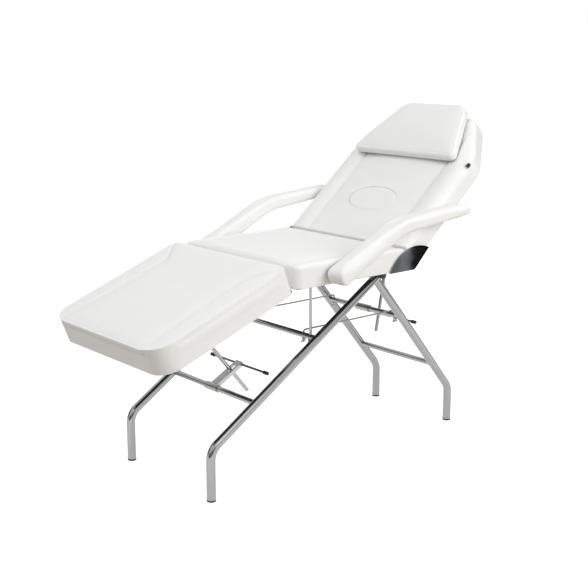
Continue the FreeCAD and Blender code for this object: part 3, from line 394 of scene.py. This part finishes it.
emboss = add_node(
    vinyl, "ShaderNodeBump", {"Strength": 0.06, "Distance": 0.0004}, {"Height": pebble.outputs["Distance"]}
)
tension = add_node(
    vinyl,
    "ShaderNodeBump",
    {"Strength": 0.1, "Distance": 0.004},
    {"Height": wave.outputs["Fac"], "Normal": emboss.outputs["Normal"]},
)
sewn = add_node(
    vinyl,
    "ShaderNodeBump",
    {"Strength": 0.5, "Distance": 0.0006},
    {"Height": thread.outputs[0], "Normal": tension.outputs["Normal"]},
)
cast = add_node(vinyl, "ShaderNodeMix", {"data_type": "RGBA"}, {"Factor": wave.outputs["Fac"]})
cast.inputs[6].default_value = linear("F0F0EF")
cast.inputs[7].default_value = linear("F4F4F3")
threaded = add_node(
    vinyl, "ShaderNodeMix", {"data_type": "RGBA"}, {"Factor": thread.outputs[0], 6: cast.outputs[2]}
)
threaded.inputs[7].default_value = linear("DCDAD3")
skin = add_node(
    vinyl,
    "ShaderNodeBsdfPrincipled",
    {"Roughness": 0.45, "Specular IOR Level": 0.4},
    {"Base Color": threaded.outputs[2], "Normal": sewn.outputs["Normal"]},
)
close_material(vinyl, skin.outputs["BSDF"])


# Seat cushion.
# A foam slab glued to its board, with the cover drawn down and stapled underneath; a top panel is sewn
# to a side band just inside the upper edge, and the rear end slopes to let the backrest come down.
def block(name, low, high):
    """A new box piece between two corners, alone in the selection."""
    bpy.ops.object.select_all(action="DESELECT")
    middle = (Vector(low) + Vector(high)) / 2
    bpy.ops.mesh.primitive_cube_add(size=1, location=middle)
    piece = bpy.context.active_object
    piece.name = name
    piece.scale = Vector(high) - Vector(low)
    bpy.ops.object.transform_apply(location=True, rotation=True, scale=True)
    return piece


def cut_away(point, normal):
    """Cuts off all of the active piece that lies beyond a plane, and closes the cut."""
    bpy.ops.object.mode_set(mode="EDIT")
    bpy.ops.mesh.select_all(action="SELECT")
    bpy.ops.mesh.bisect(plane_co=point, plane_no=normal, use_fill=True, clear_outer=True)
    bpy.ops.object.mode_set(mode="OBJECT")


def round_off(piece, chosen, radius, steps):
    """Rounds the edges whose two ends are both chosen by their place."""
    bpy.ops.object.mode_set(mode="EDIT")
    bpy.ops.mesh.select_mode(type="EDGE")
    bpy.ops.mesh.select_all(action="DESELECT")
    bpy.ops.object.mode_set(mode="OBJECT")
    for edge in piece.data.edges:
        ends = [piece.data.vertices[i].co for i in edge.vertices]
        edge.select = chosen(ends[0], ends[1])
    bpy.ops.object.mode_set(mode="EDIT")
    bpy.ops.mesh.bevel(offset=radius, segments=steps, affect="EDGES", clamp_overlap=True)
    bpy.ops.object.mode_set(mode="OBJECT")


def upright(a, b):
    """Whether the edge between two corners stands up rather than lies along a face."""
    least_rise = 0.02
    return abs(a.z - b.z) > least_rise


def points_of(piece):
    """The piece's points as an array of X, Y and Z rows."""
    flat = np.empty(len(piece.data.vertices) * 3)
    piece.data.vertices.foreach_get("co", flat)
    return flat.reshape(-1, 3)


def put_points(piece, points):
    """Gives the piece new places for its points."""
    piece.data.vertices.foreach_set("co", points.ravel())
    piece.data.update()


def ease(value, low, high):
    """A smooth step from 0 at low to 1 at high."""
    t = np.clip((value - low) / (high - low), 0, 1)
    return t * t * (3 - 2 * t)


def plump(piece, held, cap):
    """Lets pressure swell the cover between the places where it is held, by no more than the cap."""
    before = points_of(piece)
    scene = bpy.context.scene
    scene.frame_set(1)
    group = piece.vertex_groups.new(name="held")
    group.add([int(i) for i in np.flatnonzero(held(*before.T))], 1.0, "REPLACE")
    cloth = piece.modifiers.new("stuffing", "CLOTH")
    cloth.settings.use_pressure = True
    cloth.settings.uniform_pressure_force = 4.0
    cloth.settings.vertex_group_mass = group.name
    cloth.settings.effector_weights.gravity = 0
    cloth.settings.quality = 3
    last_frame = 20
    cloth.point_cache.frame_end = last_frame
    for step in range(1, last_frame + 1):
        scene.frame_set(step)
    bpy.ops.object.modifier_apply(modifier=cloth.name)
    scene.frame_set(1)
    piece.vertex_groups.clear()
    tiny = 1e-9
    moved = points_of(piece) - before
    length = np.linalg.norm(moved, axis=1, keepdims=True)
    put_points(piece, before + moved * np.minimum(1, cap / np.maximum(length, tiny)))


def remesh(piece, voxel):
    """An even mesh of small squares all over the piece."""
    piece.data.remesh_voxel_size = voxel
    bpy.ops.object.voxel_remesh()


def relax(piece, times):
    """Smooths the cover a little, some times over."""
    smoother = piece.modifiers.new("relax", "SMOOTH")
    smoother.factor = 0.5
    smoother.iterations = times
    bpy.ops.object.modifier_apply(modifier=smoother.name)


def refine(piece, smoothing):
    """One subdivision and a light smoothing, as the foam rounds off the cover."""
    fine = piece.modifiers.new("fine", "SUBSURF")
    fine.levels = 1
    fine.render_levels = 1
    bpy.ops.object.modifier_apply(modifier=fine.name)
    relax(piece, smoothing)


def plan_edge(x, y, half, low, high, low_round, high_round):
    """How far inside a round-cornered plan each point lies, and the way out of the plan from it."""
    middle = (low + high) / 2
    corner = np.where(y < middle, low_round, high_round)
    across = np.abs(x) - half + corner
    length = np.abs(y - middle) - (high - low) / 2 + corner
    bend = np.hypot(np.maximum(across, 0), np.maximum(length, 0))
    in_corner = (across > 0) & (length > 0)
    inside = corner - bend - np.minimum(np.maximum(across, length), 0)
    tiny = 1e-6
    safe = np.maximum(bend, tiny)
    way_x = np.where(in_corner, across / safe, across > length) * np.sign(x)
    way_y = np.where(in_corner, length / safe, across <= length) * np.sign(y - middle)
    return inside, way_x, way_y


def tighten(spots, edge, depth, up, reach, share):
    """Draws a cover tight over an edge that has gone too round, where a face meets the plan's edge."""
    inside, way_x, way_y = edge
    side = np.maximum(0, reach - inside) / reach
    face = np.maximum(0, reach - depth) / reach
    tiny = 1e-6
    most = np.maximum(np.maximum(side, face), tiny)
    stretch = share * (np.hypot(side, face) / most - 1)
    outward = reach * np.minimum(side * stretch, np.maximum(0, 1 - side))
    spots[:, 0] += way_x * outward
    spots[:, 1] += way_y * outward
    spots[:, 2] += up * reach * np.minimum(face * stretch, np.maximum(0, 1 - face))


def hollow(piece, tool):
    """Cuts the tool's shape out of the piece and removes the tool."""
    cutter = piece.modifiers.new("hollow", "BOOLEAN")
    cutter.operation = "DIFFERENCE"
    cutter.solver = "EXACT"
    cutter.object = tool
    bpy.ops.object.select_all(action="DESELECT")
    bpy.context.view_layer.objects.active = piece
    piece.select_set(True)
    bpy.ops.object.modifier_apply(modifier=cutter.name)
    bpy.data.objects.remove(tool)


def sew(piece, seams):
    """Marks how near each point is to a seam, and how far along it, for the row of stitches."""
    distance, along = seams(*points_of(piece).T)
    nearness = np.clip(1 - distance / seam_reach, 0, 1)
    for name, values in (("near_seam", nearness), ("along_seam", along)):
        mark = piece.data.attributes.new(name, "FLOAT", "POINT")
        mark.data.foreach_set("value", values.astype(np.float32))


def upholster(piece, body, node):
    """Finishes a padded piece: cover, body, and the CAD solid that it stands for."""
    piece.data.materials.clear()
    piece.data.materials.append(vinyl)
    bpy.ops.object.select_all(action="DESELECT")
    bpy.context.view_layer.objects.active = piece
    piece.select_set(True)
    bpy.ops.object.shade_smooth_by_angle(angle=math.radians(50))
    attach(piece, body)
    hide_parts(node)


hair = 0.001
side_in = 0.001
voxel = 0.006
board_inset = 0.009
board_side = 0.008
board_thick = 0.012
board_room = 0.0006
no_seam = 1.0
seat_low, seat_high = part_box("seat_cushion")
half_width = seat_high.x - side_in
back_hinge = Vector((0, 0.25632, 0.700))
back_angle = math.radians(40.6)
meeting_setback = 0.021
meeting_clear = 0.03
meeting_hold = 0.034
top_swell = 0.004
seat_top = seat_high.z - top_swell
seat = block(
    "seat_pad", (-half_width, seat_low.y, seat_low.z), (half_width, seat_high.y, seat_top)
)
meeting = Vector((0, meeting_setback, -(seat_high.z - back_hinge.z))).normalized()
slope_normal = Vector((0, -meeting.z, meeting.y))
cut_away((0, seat_high.y, back_hinge.z), slope_normal)
front_corner = 0.026
round_off(seat, lambda a, b: upright(a, b) and max(a.y, b.y) < seat_low.y + hair, front_corner, steps=6)
seat_edge = 0.013
round_off(
    seat,
    lambda a, b: min(a.z, b.z) > seat_top - hair and max(a.y, b.y) < seat_high.y - meeting_clear,
    seat_edge,
    steps=4,
)
remesh(seat, voxel)
spots = points_of(seat)
x, y, z = spots.T
drawn_in = 0.004
drawn_reach = 0.03
middle = np.sin(np.pi * np.clip((y - seat_low.y) / (seat_high.y - seat_low.y), 0, 1))
spots[:, 0] -= np.sign(x) * drawn_in * middle * ease(np.abs(x), half_width - drawn_reach, half_width)
put_points(seat, spots)
seat_seam = 0.272
seam_hold = 0.004
seat_loose = 0.02
seat_swell = 0.006
plump(
    seat,
    lambda x, y, z: (z < seat_top - seat_loose)
    | (np.abs(np.abs(x) - seat_seam) < seam_hold)
    | (y > seat_high.y - meeting_hold),
    seat_swell,
)
refine(seat, smoothing=3)
spots = points_of(seat)
x, y, z = spots.T
seat_skin = 0.008
seam_depth = 0.003
seam_width = 0.003
seam_gap = 0.008
second_share = 0.6
top_side = ease(z, seat_top - seat_loose, seat_top - seat_skin)
first = np.exp(-(((np.abs(x) - seat_seam) / seam_width) ** 2))
second = np.exp(-(((np.abs(x) - seat_seam - seam_gap) / seam_width) ** 2))
spots[:, 2] -= top_side * seam_depth * (first + second_share * second)
put_points(seat, spots)
board_low, board_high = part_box("seat_board")
room = Vector((board_room, board_room, board_room))
hollow(seat, block("seat_board_room", board_low - room, board_high + room))
sew(
    seat,
    lambda x, y, z: (np.where(z > seat_top - seat_loose, np.abs(np.abs(x) - seat_seam), no_seam), y),
)
upholster(seat, "frame", "seat_cushion")

# Leg rest cushion.
# The thickest slab of the chair: a flat middle panel that widens to the seat and ends in a rolled lip over
# the foot end, and side bands with a tight edge along the walls.
leg_hinge = Vector((0, -0.24968, 0.650))
leg_angle = math.radians(20.7)
leg_under = 0.006
leg_top = 0.093
leg_rear = -0.0025
leg_foot = -0.5385
foot_corner = 0.076
leg = block("leg_pad", (-half_width, leg_foot, leg_under), (half_width, leg_rear, leg_top))
round_off(leg, lambda a, b: upright(a, b) and max(a.y, b.y) < leg_foot + hair, foot_corner, steps=12)
rear_corner = 0.034
round_off(leg, lambda a, b: upright(a, b) and min(a.y, b.y) > leg_rear - hair, rear_corner, steps=6)
leg_edge = 0.006
round_off(leg, lambda a, b: min(a.z, b.z) > leg_top - hair, leg_edge, steps=3)
remesh(leg, voxel)
panel_at_hinge = 0.208
panel_spread_share = 0.048
panel_flare = 0.085
flare_len = 0.13


def leg_seam(along):
    """Half width of the leg rest's middle panel at a distance from its hinge."""
    flare = panel_flare * (1 - ease(along, 0, flare_len))
    return panel_at_hinge + panel_spread_share * along + flare


spots = points_of(leg)
x, y, z = spots.T
seam_at = leg_seam(-y)
out = np.clip((np.abs(x) - seam_at) / (half_width - seam_at), 0, 1)
band_fall = 0.002
band_low = 0.03
spots[:, 2] -= ease(z, leg_under + band_low, leg_top) * band_fall * out
put_points(leg, spots)
leg_loose = 0.045
foot_hold = 0.012
leg_swell = 0.003
plump(
    leg,
    lambda x, y, z: (z < leg_top - leg_loose)
    | (np.abs(np.abs(x) - leg_seam(-y)) < seam_hold)
    | (y < leg_foot + foot_hold),
    leg_swell,
)
refine(leg, smoothing=3)
spots = points_of(leg)
x, y, z = spots.T
edge_reach = 0.018
top_share = 0.8
under_share = 0.9
edge = plan_edge(x, y, half_width, leg_foot, leg_rear, foot_corner, rear_corner)
tighten(spots, edge, leg_top - z, 1, edge_reach, top_share)
tighten(spots, edge, z - leg_under, -1, edge_reach, under_share)
rim_drop = 0.0025
rim_in = 0.004
rim_reach = 0.03
rim_tall = 0.04
near_rim = 1 - ease(edge[0], rim_in, rim_reach)
spots[:, 2] -= rim_drop * near_rim * (1 - ease(z, leg_under, leg_under + rim_tall))
panel_low = 0.03
panel_high = 0.016
lip_near = 0.004
lip_far = 0.02
panel_rise = 0.0012
step_in = 0.003
step_out = 0.006
leg_seam_share = 0.8
behind_lip = ease(y, leg_foot + lip_near, leg_foot + lip_far)
top_side = ease(z, leg_top - panel_low, leg_top - panel_high) * behind_lip
first = np.exp(-(((np.abs(x) - leg_seam(-y)) / seam_width) ** 2))
panel = 1 - ease(np.abs(x) - leg_seam(-y), -step_in, step_out)
spots[:, 2] += top_side * (panel_rise * panel - leg_seam_share * seam_depth * first)
lip_deep = 0.005
lip_tall = 0.013
lip_blend = 0.003
lip_fade = 0.016
lip_groove = 0.003
groove_drop = 0.004
foot_near = 0.01
foot_far = 0.05
panel_edge = 1 - ease(np.abs(x), leg_seam(-leg_foot), leg_seam(-leg_foot) + lip_fade)
under_lip = 1 - ease(z, leg_top - lip_tall - lip_blend, leg_top - lip_tall + hair)
groove = np.exp(-(((z - leg_top + lip_tall + groove_drop) / seam_width) ** 2))
foot_side = 1 - ease(y, leg_foot + foot_near, leg_foot + foot_far)
spots[:, 1] -= foot_side * panel_edge * (lip_deep * (1 - under_lip) - lip_groove * groove)
put_points(leg, spots)
hollow(
    leg,
    block(
        "leg_board_room",
        Vector((-half_width + board_side, leg_foot + foot_corner, leg_under)) - room,
        Vector((half_width - board_side, leg_rear - board_inset, leg_under + board_thick)) + room,
    ),
)
sew(
    leg,
    lambda x, y, z: (np.where(z > leg_top - panel_low, np.abs(np.abs(x) - leg_seam(-y)), no_seam), y),
)
leg.location = leg_hinge
leg.rotation_euler = (leg_angle, 0, 0)
bpy.ops.object.transform_apply(location=True, rotation=True, scale=True)
upholster(leg, "leg_rest", "leg_cushion")

# Backrest cushion.
# The cover is sewn in three lengths: a flat middle panel with the oval face hole, and two side bolsters
# that stand a little proud of the seams and fade out where the backrest tapers towards the head.
back_under = -0.040
back_face = 0.038
back_top = back_face - top_swell
back_low = 0.002
back_len = 0.660
straight = 0.450
head_half = 0.186
back = block("back_pad", (-half_width, back_low, back_under), (half_width, back_len, back_top))
cut_away((0, back_low, 0), Vector((0, -back_face, meeting_setback)).normalized())
for side in (1, -1):
    taper = Vector((side * (back_len - straight), half_width - head_half, 0)).normalized()
    cut_away((side * half_width, straight, 0), taper)
head_round = 0.028
round_off(back, lambda a, b: upright(a, b) and min(a.y, b.y) > straight - hair, head_round, steps=8)
back_edge = 0.014
round_off(
    back,
    lambda a, b: min(a.z, b.z) > back_top - hair and max(a.y, b.y) > back_low + meeting_clear,
    back_edge,
    steps=4,
)
remesh(back, voxel)
fade_before = 0.04
fade_after = 0.06


def bolster_left(y):
    """How much of the bolsters' shape is left at a distance from the hinge, as the head tapers."""
    return 1 - ease(y, straight - fade_before, straight + fade_after)


spots = points_of(back)
x, y, z = spots.T
panel_half = 0.210
least_bolster = 0.02
bolster_rise = 0.0035
bolster_fall = 0.004
valley_deep = 0.0018
valley_wide = 0.011
narrowing = np.clip((y - straight) / (back_len - straight), 0, 1) * (half_width - head_half)
edge_at = half_width - narrowing
out = np.clip((np.abs(x) - panel_half) / np.maximum(edge_at - panel_half, least_bolster), 0, 1)
upper = ease(z, back_under + band_low, back_top)
shaped = bolster_left(y)
spots[:, 2] += upper * shaped * (bolster_rise * np.sin(np.pi * out) - bolster_fall * out**2)
spots[:, 2] -= upper * shaped * valley_deep * np.exp(-(((np.abs(x) - panel_half) / valley_wide) ** 2))
put_points(back, spots)
back_loose = 0.03
back_swell = 0.006
plump(
    back,
    lambda x, y, z: (z < back_top - back_loose)
    | (np.abs(np.abs(x) - panel_half) < seam_hold)
    | (y < back_low + meeting_hold),
    back_swell,
)
refine(back, smoothing=3)
spots = points_of(back)
x, y, z = spots.T
plug_at = 0.205
plug_wide = 0.118
plug_long = 0.060
beside = 0.008
plug_skin = 0.01
back_seam_share = 1.2
ring = np.hypot(x / plug_wide, (y - plug_at) / plug_long) - 1
beside_plug = (np.abs(ring * plug_long) < beside) & (z > back_top - plug_skin)
plug_face = float(np.median(z[beside_plug]))
top_side = ease(z, back_top - panel_low, back_top - panel_high)
first = bolster_left(y) * np.exp(-(((np.abs(x) - panel_half) / seam_width) ** 2))
spots[:, 2] -= top_side * back_seam_share * seam_depth * first
put_points(back, spots)


def oval(name, wide, long, low, high, steps):
    """An upright oval drum around the face hole's middle."""
    bpy.ops.object.select_all(action="DESELECT")
    bpy.ops.mesh.primitive_cylinder_add(
        vertices=steps, radius=1, depth=high - low, location=(0, plug_at, (low + high) / 2)
    )
    piece = bpy.context.active_object
    piece.name = name
    piece.scale = (wide, long, 1)
    bpy.ops.object.transform_apply(location=True, rotation=True, scale=True)
    return piece


def raise_back(piece):
    """Turns a piece made level at the backrest's hinge up to its slope at rest."""
    bpy.ops.object.select_all(action="DESELECT")
    bpy.context.view_layer.objects.active = piece
    piece.select_set(True)
    piece.location = back_hinge
    piece.rotation_euler = (back_angle, 0, 0)
    bpy.ops.object.transform_apply(location=True, rotation=True, scale=True)


hole_below = 0.01
hole_above = 0.02
oval_steps = 96
hollow(
    back,
    oval("face_hole_room", plug_wide, plug_long, back_under - hole_below, back_face + hole_above, oval_steps),
)
back_room = block(
    "back_board_room",
    Vector((-half_width + board_side, back_low + board_inset, back_under - hair)) - room,
    Vector((half_width - board_side, back_len - board_inset, back_under + board_thick)) + room,
)
taper_in = 0.0045
for side in (1, -1):
    board_taper = Vector((side * abs(taper.x), taper.y, 0))
    cut_away((side * (half_width - board_side), straight - taper_in, 0), board_taper)
hollow(back, back_room)
sew(
    back,
    lambda x, y, z: (
        np.where((z > back_top - panel_low) & (y < straight), np.abs(np.abs(x) - panel_half), no_seam),
        y,
    ),
)
raise_back(back)
upholster(back, "backrest", "back_cushion")

# Face-hole plug.
# An oval of the same foam and cover, a snug push fit in the hole and almost level with the panel.
plug_room = 0.0006
plug_lift = 0.0015
plug_voxel = 0.003
plug_swell = 0.0015
plug = oval(
    "face_plug_pad",
    plug_wide - plug_room,
    plug_long - plug_room,
    back_under + plug_lift,
    plug_face,
    oval_steps,
)
remesh(plug, plug_voxel)
plump(plug, lambda x, y, z: z < plug_face - hair, plug_swell)
refine(plug, smoothing=1)
raise_back(plug)
upholster(plug, "face_plug", "face_hole_plug")

# Head pillow.
# A separate boxed pad, narrower towards the head, thinner at its lower end, with a seam around its top.
pillow_base = 0.0445
pillow_sink = 0.003
pillow_top = 0.0885 - pillow_sink
pillow_low = 0.418
pillow_len = 0.260
pillow_low_half = 0.264
pillow_top_half = 0.152
pillow = block(
    "pillow_pad",
    (-pillow_low_half, pillow_low, pillow_base),
    (pillow_low_half, pillow_low + pillow_len, pillow_top),
)
for side in (1, -1):
    pillow_side = Vector((side * pillow_len, pillow_low_half - pillow_top_half, 0)).normalized()
    cut_away((side * pillow_low_half, pillow_low, 0), pillow_side)
pillow_corner = 0.034
pillow_edge = 0.012
pillow_voxel = 0.005
round_off(pillow, upright, pillow_corner, steps=8)
round_off(pillow, lambda a, b: abs(a.z - b.z) < hair, pillow_edge, steps=4)
remesh(pillow, pillow_voxel)


def pillow_rim(x, y):
    """How far inside the pillow's outline a point of its plan lies."""
    slant = np.hypot(pillow_len, pillow_low_half - pillow_top_half)
    side_line = pillow_low_half - (y - pillow_low) * (pillow_low_half - pillow_top_half) / pillow_len
    flank = (side_line - np.abs(x)) * pillow_len / slant
    return np.minimum(flank, np.minimum(y - pillow_low, pillow_low + pillow_len - y))


rim_fall = 0.005
fall_reach = 0.07
low_fall = 0.006
low_reach = 0.09
pillow_band = 0.008
spots = points_of(pillow)
x, y, z = spots.T
upper = ease(z, pillow_base + pillow_band, pillow_top)
spots[:, 2] -= rim_fall * upper * (1 - ease(pillow_rim(x, y), 0, fall_reach))
spots[:, 2] -= low_fall * upper * (1 - ease(y - pillow_low, 0, low_reach))
put_points(pillow, spots)
rim_seam = 0.012
side_hold = 0.014
seam_from = 0.018
pillow_swell = 0.007
plump(
    pillow,
    lambda x, y, z: (z < pillow_base + side_hold)
    | ((z > pillow_base + seam_from) & (np.abs(pillow_rim(x, y) - rim_seam) < seam_hold)),
    pillow_swell,
)
refine(pillow, smoothing=2)
spots = points_of(pillow)
x, y, z = spots.T
seam_full = 0.020
rim_groove = 0.0012
skirt = 0.0025
skirt_in = 0.006
skirt_reach = 0.03
skirt_low = 0.004
skirt_high = 0.02
rim = pillow_rim(x, y)
pillow_face = ease(z, pillow_base + side_hold, pillow_base + seam_full)
skirt_side = 1 - ease(z, pillow_base + skirt_low, pillow_base + skirt_high)
spots[:, 2] -= skirt * (1 - ease(rim, skirt_in, skirt_reach)) * skirt_side
spots[:, 2] -= pillow_face * rim_groove * np.exp(-(((rim - rim_seam) / seam_width) ** 2))
put_points(pillow, spots)
raise_back(pillow)
upholster(pillow, "pillow", "head_pillow")


# Armrests.
# A bent steel core wrapped in foam and cover, rounded at both ends, that turns on a bolt beside the seat.
def wrap_armrest(side):
    """The pad of one armrest, swollen from its CAD form."""
    bpy.ops.object.select_all(action="DESELECT")
    node = frame["nodes"]["armrest_" + side]
    pad = node.copy()
    pad.data = node.data.copy()
    pad.name = "armrest_pad_" + side
    bpy.context.scene.collection.objects.link(pad)
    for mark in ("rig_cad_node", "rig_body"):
        del pad[mark]
    pad.parent = None
    bpy.context.view_layer.objects.active = pad
    pad.select_set(True)
    same_point = 0.00001
    arm_voxel = 0.005
    inner_side = 0.324
    arm_swell = 0.004
    bpy.ops.object.mode_set(mode="EDIT")
    bpy.ops.mesh.select_all(action="SELECT")
    bpy.ops.mesh.remove_doubles(threshold=same_point)
    bpy.ops.object.mode_set(mode="OBJECT")
    remesh(pad, arm_voxel)
    relax(pad, times=6)
    plump(pad, lambda x, y, z: np.abs(x) < inner_side, arm_swell)
    refine(pad, smoothing=3)
    upholster(pad, "armrest_" + side, "armrest_" + side)


for side in ("left", "right"):
    wrap_armrest(side)


# Studio: a pale floor that runs out to a white surround, glowing cards seen only in reflections that paint
# dark, grey and bright reflections on the metal, and soft lamps.
# The camera stands where the photographer stood, before the foot end on the sitter's left.
def seen_rays(material):
    """One for the rays by which a thing is seen, straight, mirrored or through glass, and zero for others."""
    rays = add_node(material, "ShaderNodeLightPath", {}, {})
    seen = add_node(
        material,
        "ShaderNodeMath",
        {"operation": "MAXIMUM"},
        {0: rays.outputs["Is Camera Ray"], 1: rays.outputs["Is Glossy Ray"]},
    )
    seen = add_node(
        material,
        "ShaderNodeMath",
        {"operation": "MAXIMUM"},
        {0: seen.outputs[0], 1: rays.outputs["Is Transmission Ray"]},
    )
    return seen.outputs[0]


bpy.ops.object.select_all(action="DESELECT")
floor_half = 30.0
bpy.ops.mesh.primitive_plane_add(size=2 * floor_half, location=(0, 0, 0))
floor = bpy.context.active_object
floor.name = "studio_floor"
floor_paper = new_material("white_studio_paper")
paper_glow = 0.84
glow_level = add_node(
    floor_paper, "ShaderNodeMath", {"operation": "MULTIPLY", 1: paper_glow}, {0: seen_rays(floor_paper)}
)
glow = add_node(
    floor_paper, "ShaderNodeEmission", {"Color": linear("FFFFFF")}, {"Strength": glow_level.outputs[0]}
)
paper = add_node(floor_paper, "ShaderNodeBsdfDiffuse", {"Color": linear("C8C4BA")}, {})
lit = add_node(
    floor_paper, "ShaderNodeAddShader", {}, {0: paper.outputs["BSDF"], 1: glow.outputs["Emission"]}
)
close_material(floor_paper, lit.outputs["Shader"])
floor.data.materials.append(floor_paper)


def reflection_card(name, place, target, width, height, cloth):
    """A glowing card beside the set, seen only in reflections, that paints a dark or pale reflection on the
    metal and vinyl.
    """
    bpy.ops.object.select_all(action="DESELECT")
    bpy.ops.mesh.primitive_plane_add(size=1, location=place)
    card = bpy.context.active_object
    card.name = name
    card.scale = (width, height, 1)
    card.rotation_euler = (Vector(target) - Vector(place)).to_track_quat("Z", "Y").to_euler()
    card.visible_camera = False
    card.visible_diffuse = False
    card.visible_shadow = False
    card.data.materials.append(cloth)


def reflection_glow(name, code, glow=1.0):
    """A glowing surface for a card, of an even shade that the lamps don't change, used to paint reflections.
    """
    cloth = new_material(name)
    shade = add_node(cloth, "ShaderNodeEmission", {"Color": linear(code), "Strength": glow}, {})
    close_material(cloth, shade.outputs["Emission"])
    return cloth


# Painted reflections: dark, grey and pale cards that glow with an even shade and are seen only in
# reflections.
dark_reflection = reflection_glow("painted_dark_reflection", "1C1C1C")
grey_reflection = reflection_glow("painted_grey_reflection", "9A9A9C")
dim_reflection = reflection_glow("painted_dim_reflection", "969698")
pale_reflection = reflection_glow("painted_pale_reflection", "C6C6C8")
# Painted highlight: a card that glows brighter than white, seen only in reflections.
highlight_glow = reflection_glow("painted_highlight_glow", "FFFFFF", glow=2.4)
# These cards paint dark streaks and grey bands into the reflections of the chrome tubes and hinge plates.
reflection_card("side_flag", (2.3, 2.1, 0.45), (0.3, 0.2, 0.7), 1.5, 0.8, dark_reflection)
reflection_card("head_flag", (-1.2, 4.5, 1.0), (0, 0, 0.6), 3.0, 2.4, dark_reflection)
reflection_card("far_flag", (-4.0, -1.2, 0.9), (0, 0, 0.5), 2.6, 2.0, dark_reflection)
reflection_card("front_flag", (0.6, -4.2, 0.7), (0, 0, 0.4), 1.6, 1.6, dark_reflection)
reflection_card("room_flag", (5.4, -4.6, 1.6), (0, 0, 0.6), 7.0, 3.4, grey_reflection)
reflection_card("plate_flag_rear", (1.2, 1.32, 0.43), (0.3, 1.32, 0.43), 0.25, 0.3, dark_reflection)
reflection_card("plate_flag_front", (1.2, 1.09, 0.43), (0.3, 1.09, 0.43), 0.1, 0.3, dim_reflection)
reflection_card("plate_flag_middle", (1.21, 1.17, 0.43), (0.3, 1.17, 0.43), 0.08, 0.3, pale_reflection)
reflection_card("bar_flag", (-3.0, -2.9, 1.1), (0, -0.3, 0.4), 2.6, 2.0, grey_reflection)
# This glowing card paints the bright streak along the sloped chrome tubes.
reflection_card("sheen_board", (3.3, -1.2, 2.9), (0.3, -0.3, 0.4), 1.6, 1.2, highlight_glow)

world = bpy.data.worlds.new("studio_surround")
bpy.context.scene.world = world
world.use_nodes = True
world.node_tree.nodes.clear()
level = add_node(
    world, "ShaderNodeMapRange", {"To Min": 0.42, "To Max": 1.0}, {"Value": seen_rays(world)}
)
surround = add_node(
    world, "ShaderNodeBackground", {"Color": linear("FFFFFF")}, {"Strength": level.outputs["Result"]}
)
add_node(world, "ShaderNodeOutputWorld", {}, {"Surface": surround.outputs["Background"]})


def soft_lamp(name, place, target, width, power):
    """A square soft box that faces a point of the chair."""
    lamp = bpy.data.lights.new(name, "AREA")
    lamp.shape = "SQUARE"
    lamp.size = width
    lamp.energy = power
    holder = bpy.data.objects.new(name, lamp)
    holder.visible_glossy = False
    bpy.context.scene.collection.objects.link(holder)
    holder.location = place
    holder.rotation_euler = (Vector(target) - Vector(place)).to_track_quat("-Z", "Y").to_euler()


chair_middle = (0, 0, 0.6)
soft_lamp("key_box", (4.2, 0.9, 2.4), chair_middle, width=2.6, power=106)
soft_lamp("top_box", (-0.2, -1.8, 4.8), chair_middle, width=3.0, power=86)

photo_side = 588
focal_pixels = 1089.9
camera_data = bpy.data.cameras.new("photo_camera")
camera_data.sensor_width = 36.0
camera_data.lens = focal_pixels * camera_data.sensor_width / photo_side
camera = bpy.data.objects.new("photo_camera", camera_data)
bpy.context.scene.collection.objects.link(camera)
camera.location = (2.8727, -2.44288, 1.4137)
looking = Vector((-0.742, 0.632, -0.2217))
camera.rotation_euler = looking.to_track_quat("-Z", "Y").to_euler()
bpy.context.scene.camera = camera
bpy.context.scene.view_settings.view_transform = "Standard"
